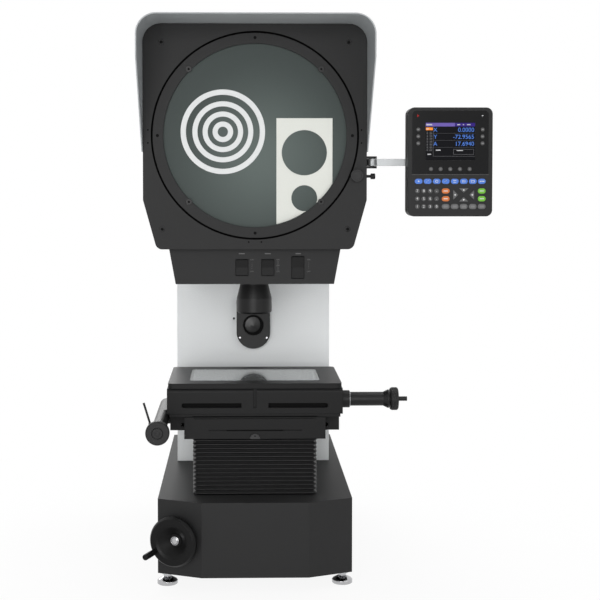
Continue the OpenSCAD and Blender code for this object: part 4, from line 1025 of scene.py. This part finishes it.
# painted shade: a dark strip on the carriage's front where the gap under the X table lies in shade
marks("carriage_gap_shade", [bar(0, CARRIAGE_LOW.z + 29 * MM, 213 * MM, 1.6 * MM)], CARRIAGE_LOW.y - STRIP_THICK, painted_shade_and_wiper_black,
      "y_stage", STRIP_THICK)
LIFT_FRONT = LIFT_LOW.y + 2 * MM
# painted shade: a dark bar on the lift table's front stands for the shade in its groove
marks("lift_groove_shade", [bar(0, LIFT_LOW.z + 14.2 * MM, 97 * MM, 1.8 * MM)], LIFT_FRONT - MARK_THICK, painted_shade_and_wiper_black,
      "lift")
marks("lift_key_face", [circle_loop(0, LIFT_LOW.z + 0.2 * MM, KEY_R, 40, 0, 180)], LIFT_LOW.y - STRIP_THICK, key_face,
      "lift", STRIP_THICK)
marks("lift_key_screw", [circle_loop(0, LIFT_LOW.z + 5 * MM, 1.2 * MM, 20)], LIFT_LOW.y - STRIP_THICK - MARK_THICK,
      painted_shade_and_wiper_black, "lift")
WIPER_SIDE, WIPER_Z = RAIL_HIGH.x - 3 * MM, (RAIL_LOW.z + RAIL_HIGH.z) / 2
WIPER, WIPER_THICK, WIPER_DOME = (5.6 * MM, 5.6 * MM, 0.8 * MM), 0.9 * MM, 0.3 * MM
flat_piece("rail_wipers", [pill_loop(side * WIPER_SIDE, WIPER_Z, *WIPER) for side in (-1, 1)], (0, 0),
           RAIL_LOW.y - WIPER_THICK - 2 * WIPER_DOME, WIPER_THICK, painted_shade_and_wiper_black, "lift", WIPER_DOME)
print("stage trim: insets, gap, groove, key face and wipers")

# %% [markdown]
# A bright ring ends the collar of the X drive, and a collar holds the focus shaft. A lathe makes such rings from a
# profile, and so does this helper: it sweeps the profile round an axis. The shaft's axis comes from its joint.

# %% turned rings
DRIVE_LOW, DRIVE_HIGH = corners("x_drive_tube")
COLLAR_LENGTH = 15 * MM
SHAFT_R = 6


def turned_ring(name, profile, origin, axis, material, body, count=64):
    """A ring round an axis, from a closed profile of (distance along it, radius) points in mm."""
    axis = axis.normalized()
    side = axis.orthogonal().normalized()
    other = axis.cross(side)
    shape = bmesh.new()
    rings = []
    for k in range(count):
        turn = 2 * math.pi * k / count
        out = side * math.cos(turn) + other * math.sin(turn)
        rings.append([shape.verts.new(origin + (axis * along + out * r) * MM) for along, r in profile])
    join_rings(shape, rings + rings[:1])
    mesh = fill_mesh(shape, bpy.data.meshes.new(name))
    return add_piece(name, mesh, material, body)


drive_axis_at = (DRIVE_LOW + DRIVE_HIGH) / 2
drive_axis_at.x = DRIVE_LOW.x + COLLAR_LENGTH
turned_ring("drive_ring", [(0, 12), (0, 13.9), (0.3, 14.2), (0.8, 14.2), (1.1, 13.9), (1.1, 12)],
            drive_axis_at, Vector((1, 0, 0)), FINISH["steel"], "x_stage")
FOCUS = next(joint for joint in frame["record"]["behaviour"]["joints"] if joint["name"] == "focus_turn")
focus_axis, focus_at = Vector(FOCUS["axis"]), Vector(FOCUS["pos_m"])
tip_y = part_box("focus_shaft")[0][1] + (SHAFT_R - 2) * abs(focus_axis.x) * MM
shaft_tip = focus_at + focus_axis * ((tip_y - focus_at.y) / focus_axis.y)
turned_ring("shaft_collar", [(-5.6, SHAFT_R), (-5.6, 8), (-1.6, 8), (-0.5, 7), (-0.5, SHAFT_R)],
            shaft_tip, focus_axis, FINISH["chrome"], "focus")
print("drive ring and shaft collar")

# %% [markdown]
# Turned knobs have a fine straight knurl on their rim. A toothed sleeve is laid over each knob's grip band.

# %% knurls


def knurl(name, node, axis, low, high, body, count=72, depth=0.5 * MM):
    """A toothed sleeve round one axis (0 is X, 1 is Y) of a knob, from low to high along it."""
    knob_low, knob_high = corners(node)
    middle = (knob_low + knob_high) / 2
    radius = (knob_high.z - knob_low.z) / 2
    rim = []
    for k in range(count * 4):
        r = radius + (depth if k % 4 in (1, 2) else 0.0) - depth * 0.4
        turn = 2 * math.pi * k / (count * 4)
        rim.append((r * math.cos(turn), r * math.sin(turn)))
    shape = bmesh.new()
    rings = []
    for along, shrink in ((low, depth), (low + depth, 0.0), (high - depth, 0.0), (high, depth)):
        ring = []
        for u, v in rim:
            scale = 1 - shrink / radius
            point = [0.0, 0.0, 0.0]
            point[axis] = along
            point[1 - axis] = middle[1 - axis] + u * scale
            point[2] = middle.z + v * scale
            ring.append(shape.verts.new(point))
        rings.append(ring)
    join_rings(shape, rings)
    shape.faces.new(rings[0])
    shape.faces.new(rings[-1])
    mesh = fill_mesh(shape, bpy.data.meshes.new(name))
    return add_piece(name, mesh, FINISH["black_plastic"], body)


PIN_LENGTH = 16 * MM
X_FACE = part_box("x_knob")[1][0] - PIN_LENGTH
Y_FACE, TURN_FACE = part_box("y_knob")[0][1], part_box("screen_knob")[0][1]
knurl("x_knob_knurl", "x_knob", 0, X_FACE - 11 * MM, X_FACE - 2 * MM, "x_handle")
knurl("y_knob_knurl", "y_knob", 1, Y_FACE + 2 * MM, Y_FACE + 11 * MM, "y_handle")
knurl("screen_knob_knurl", "screen_knob", 1, TURN_FACE + 1 * MM, TURN_FACE + 8 * MM, "screen_drive", 40, 0.4 * MM)
print("three knurled knobs")
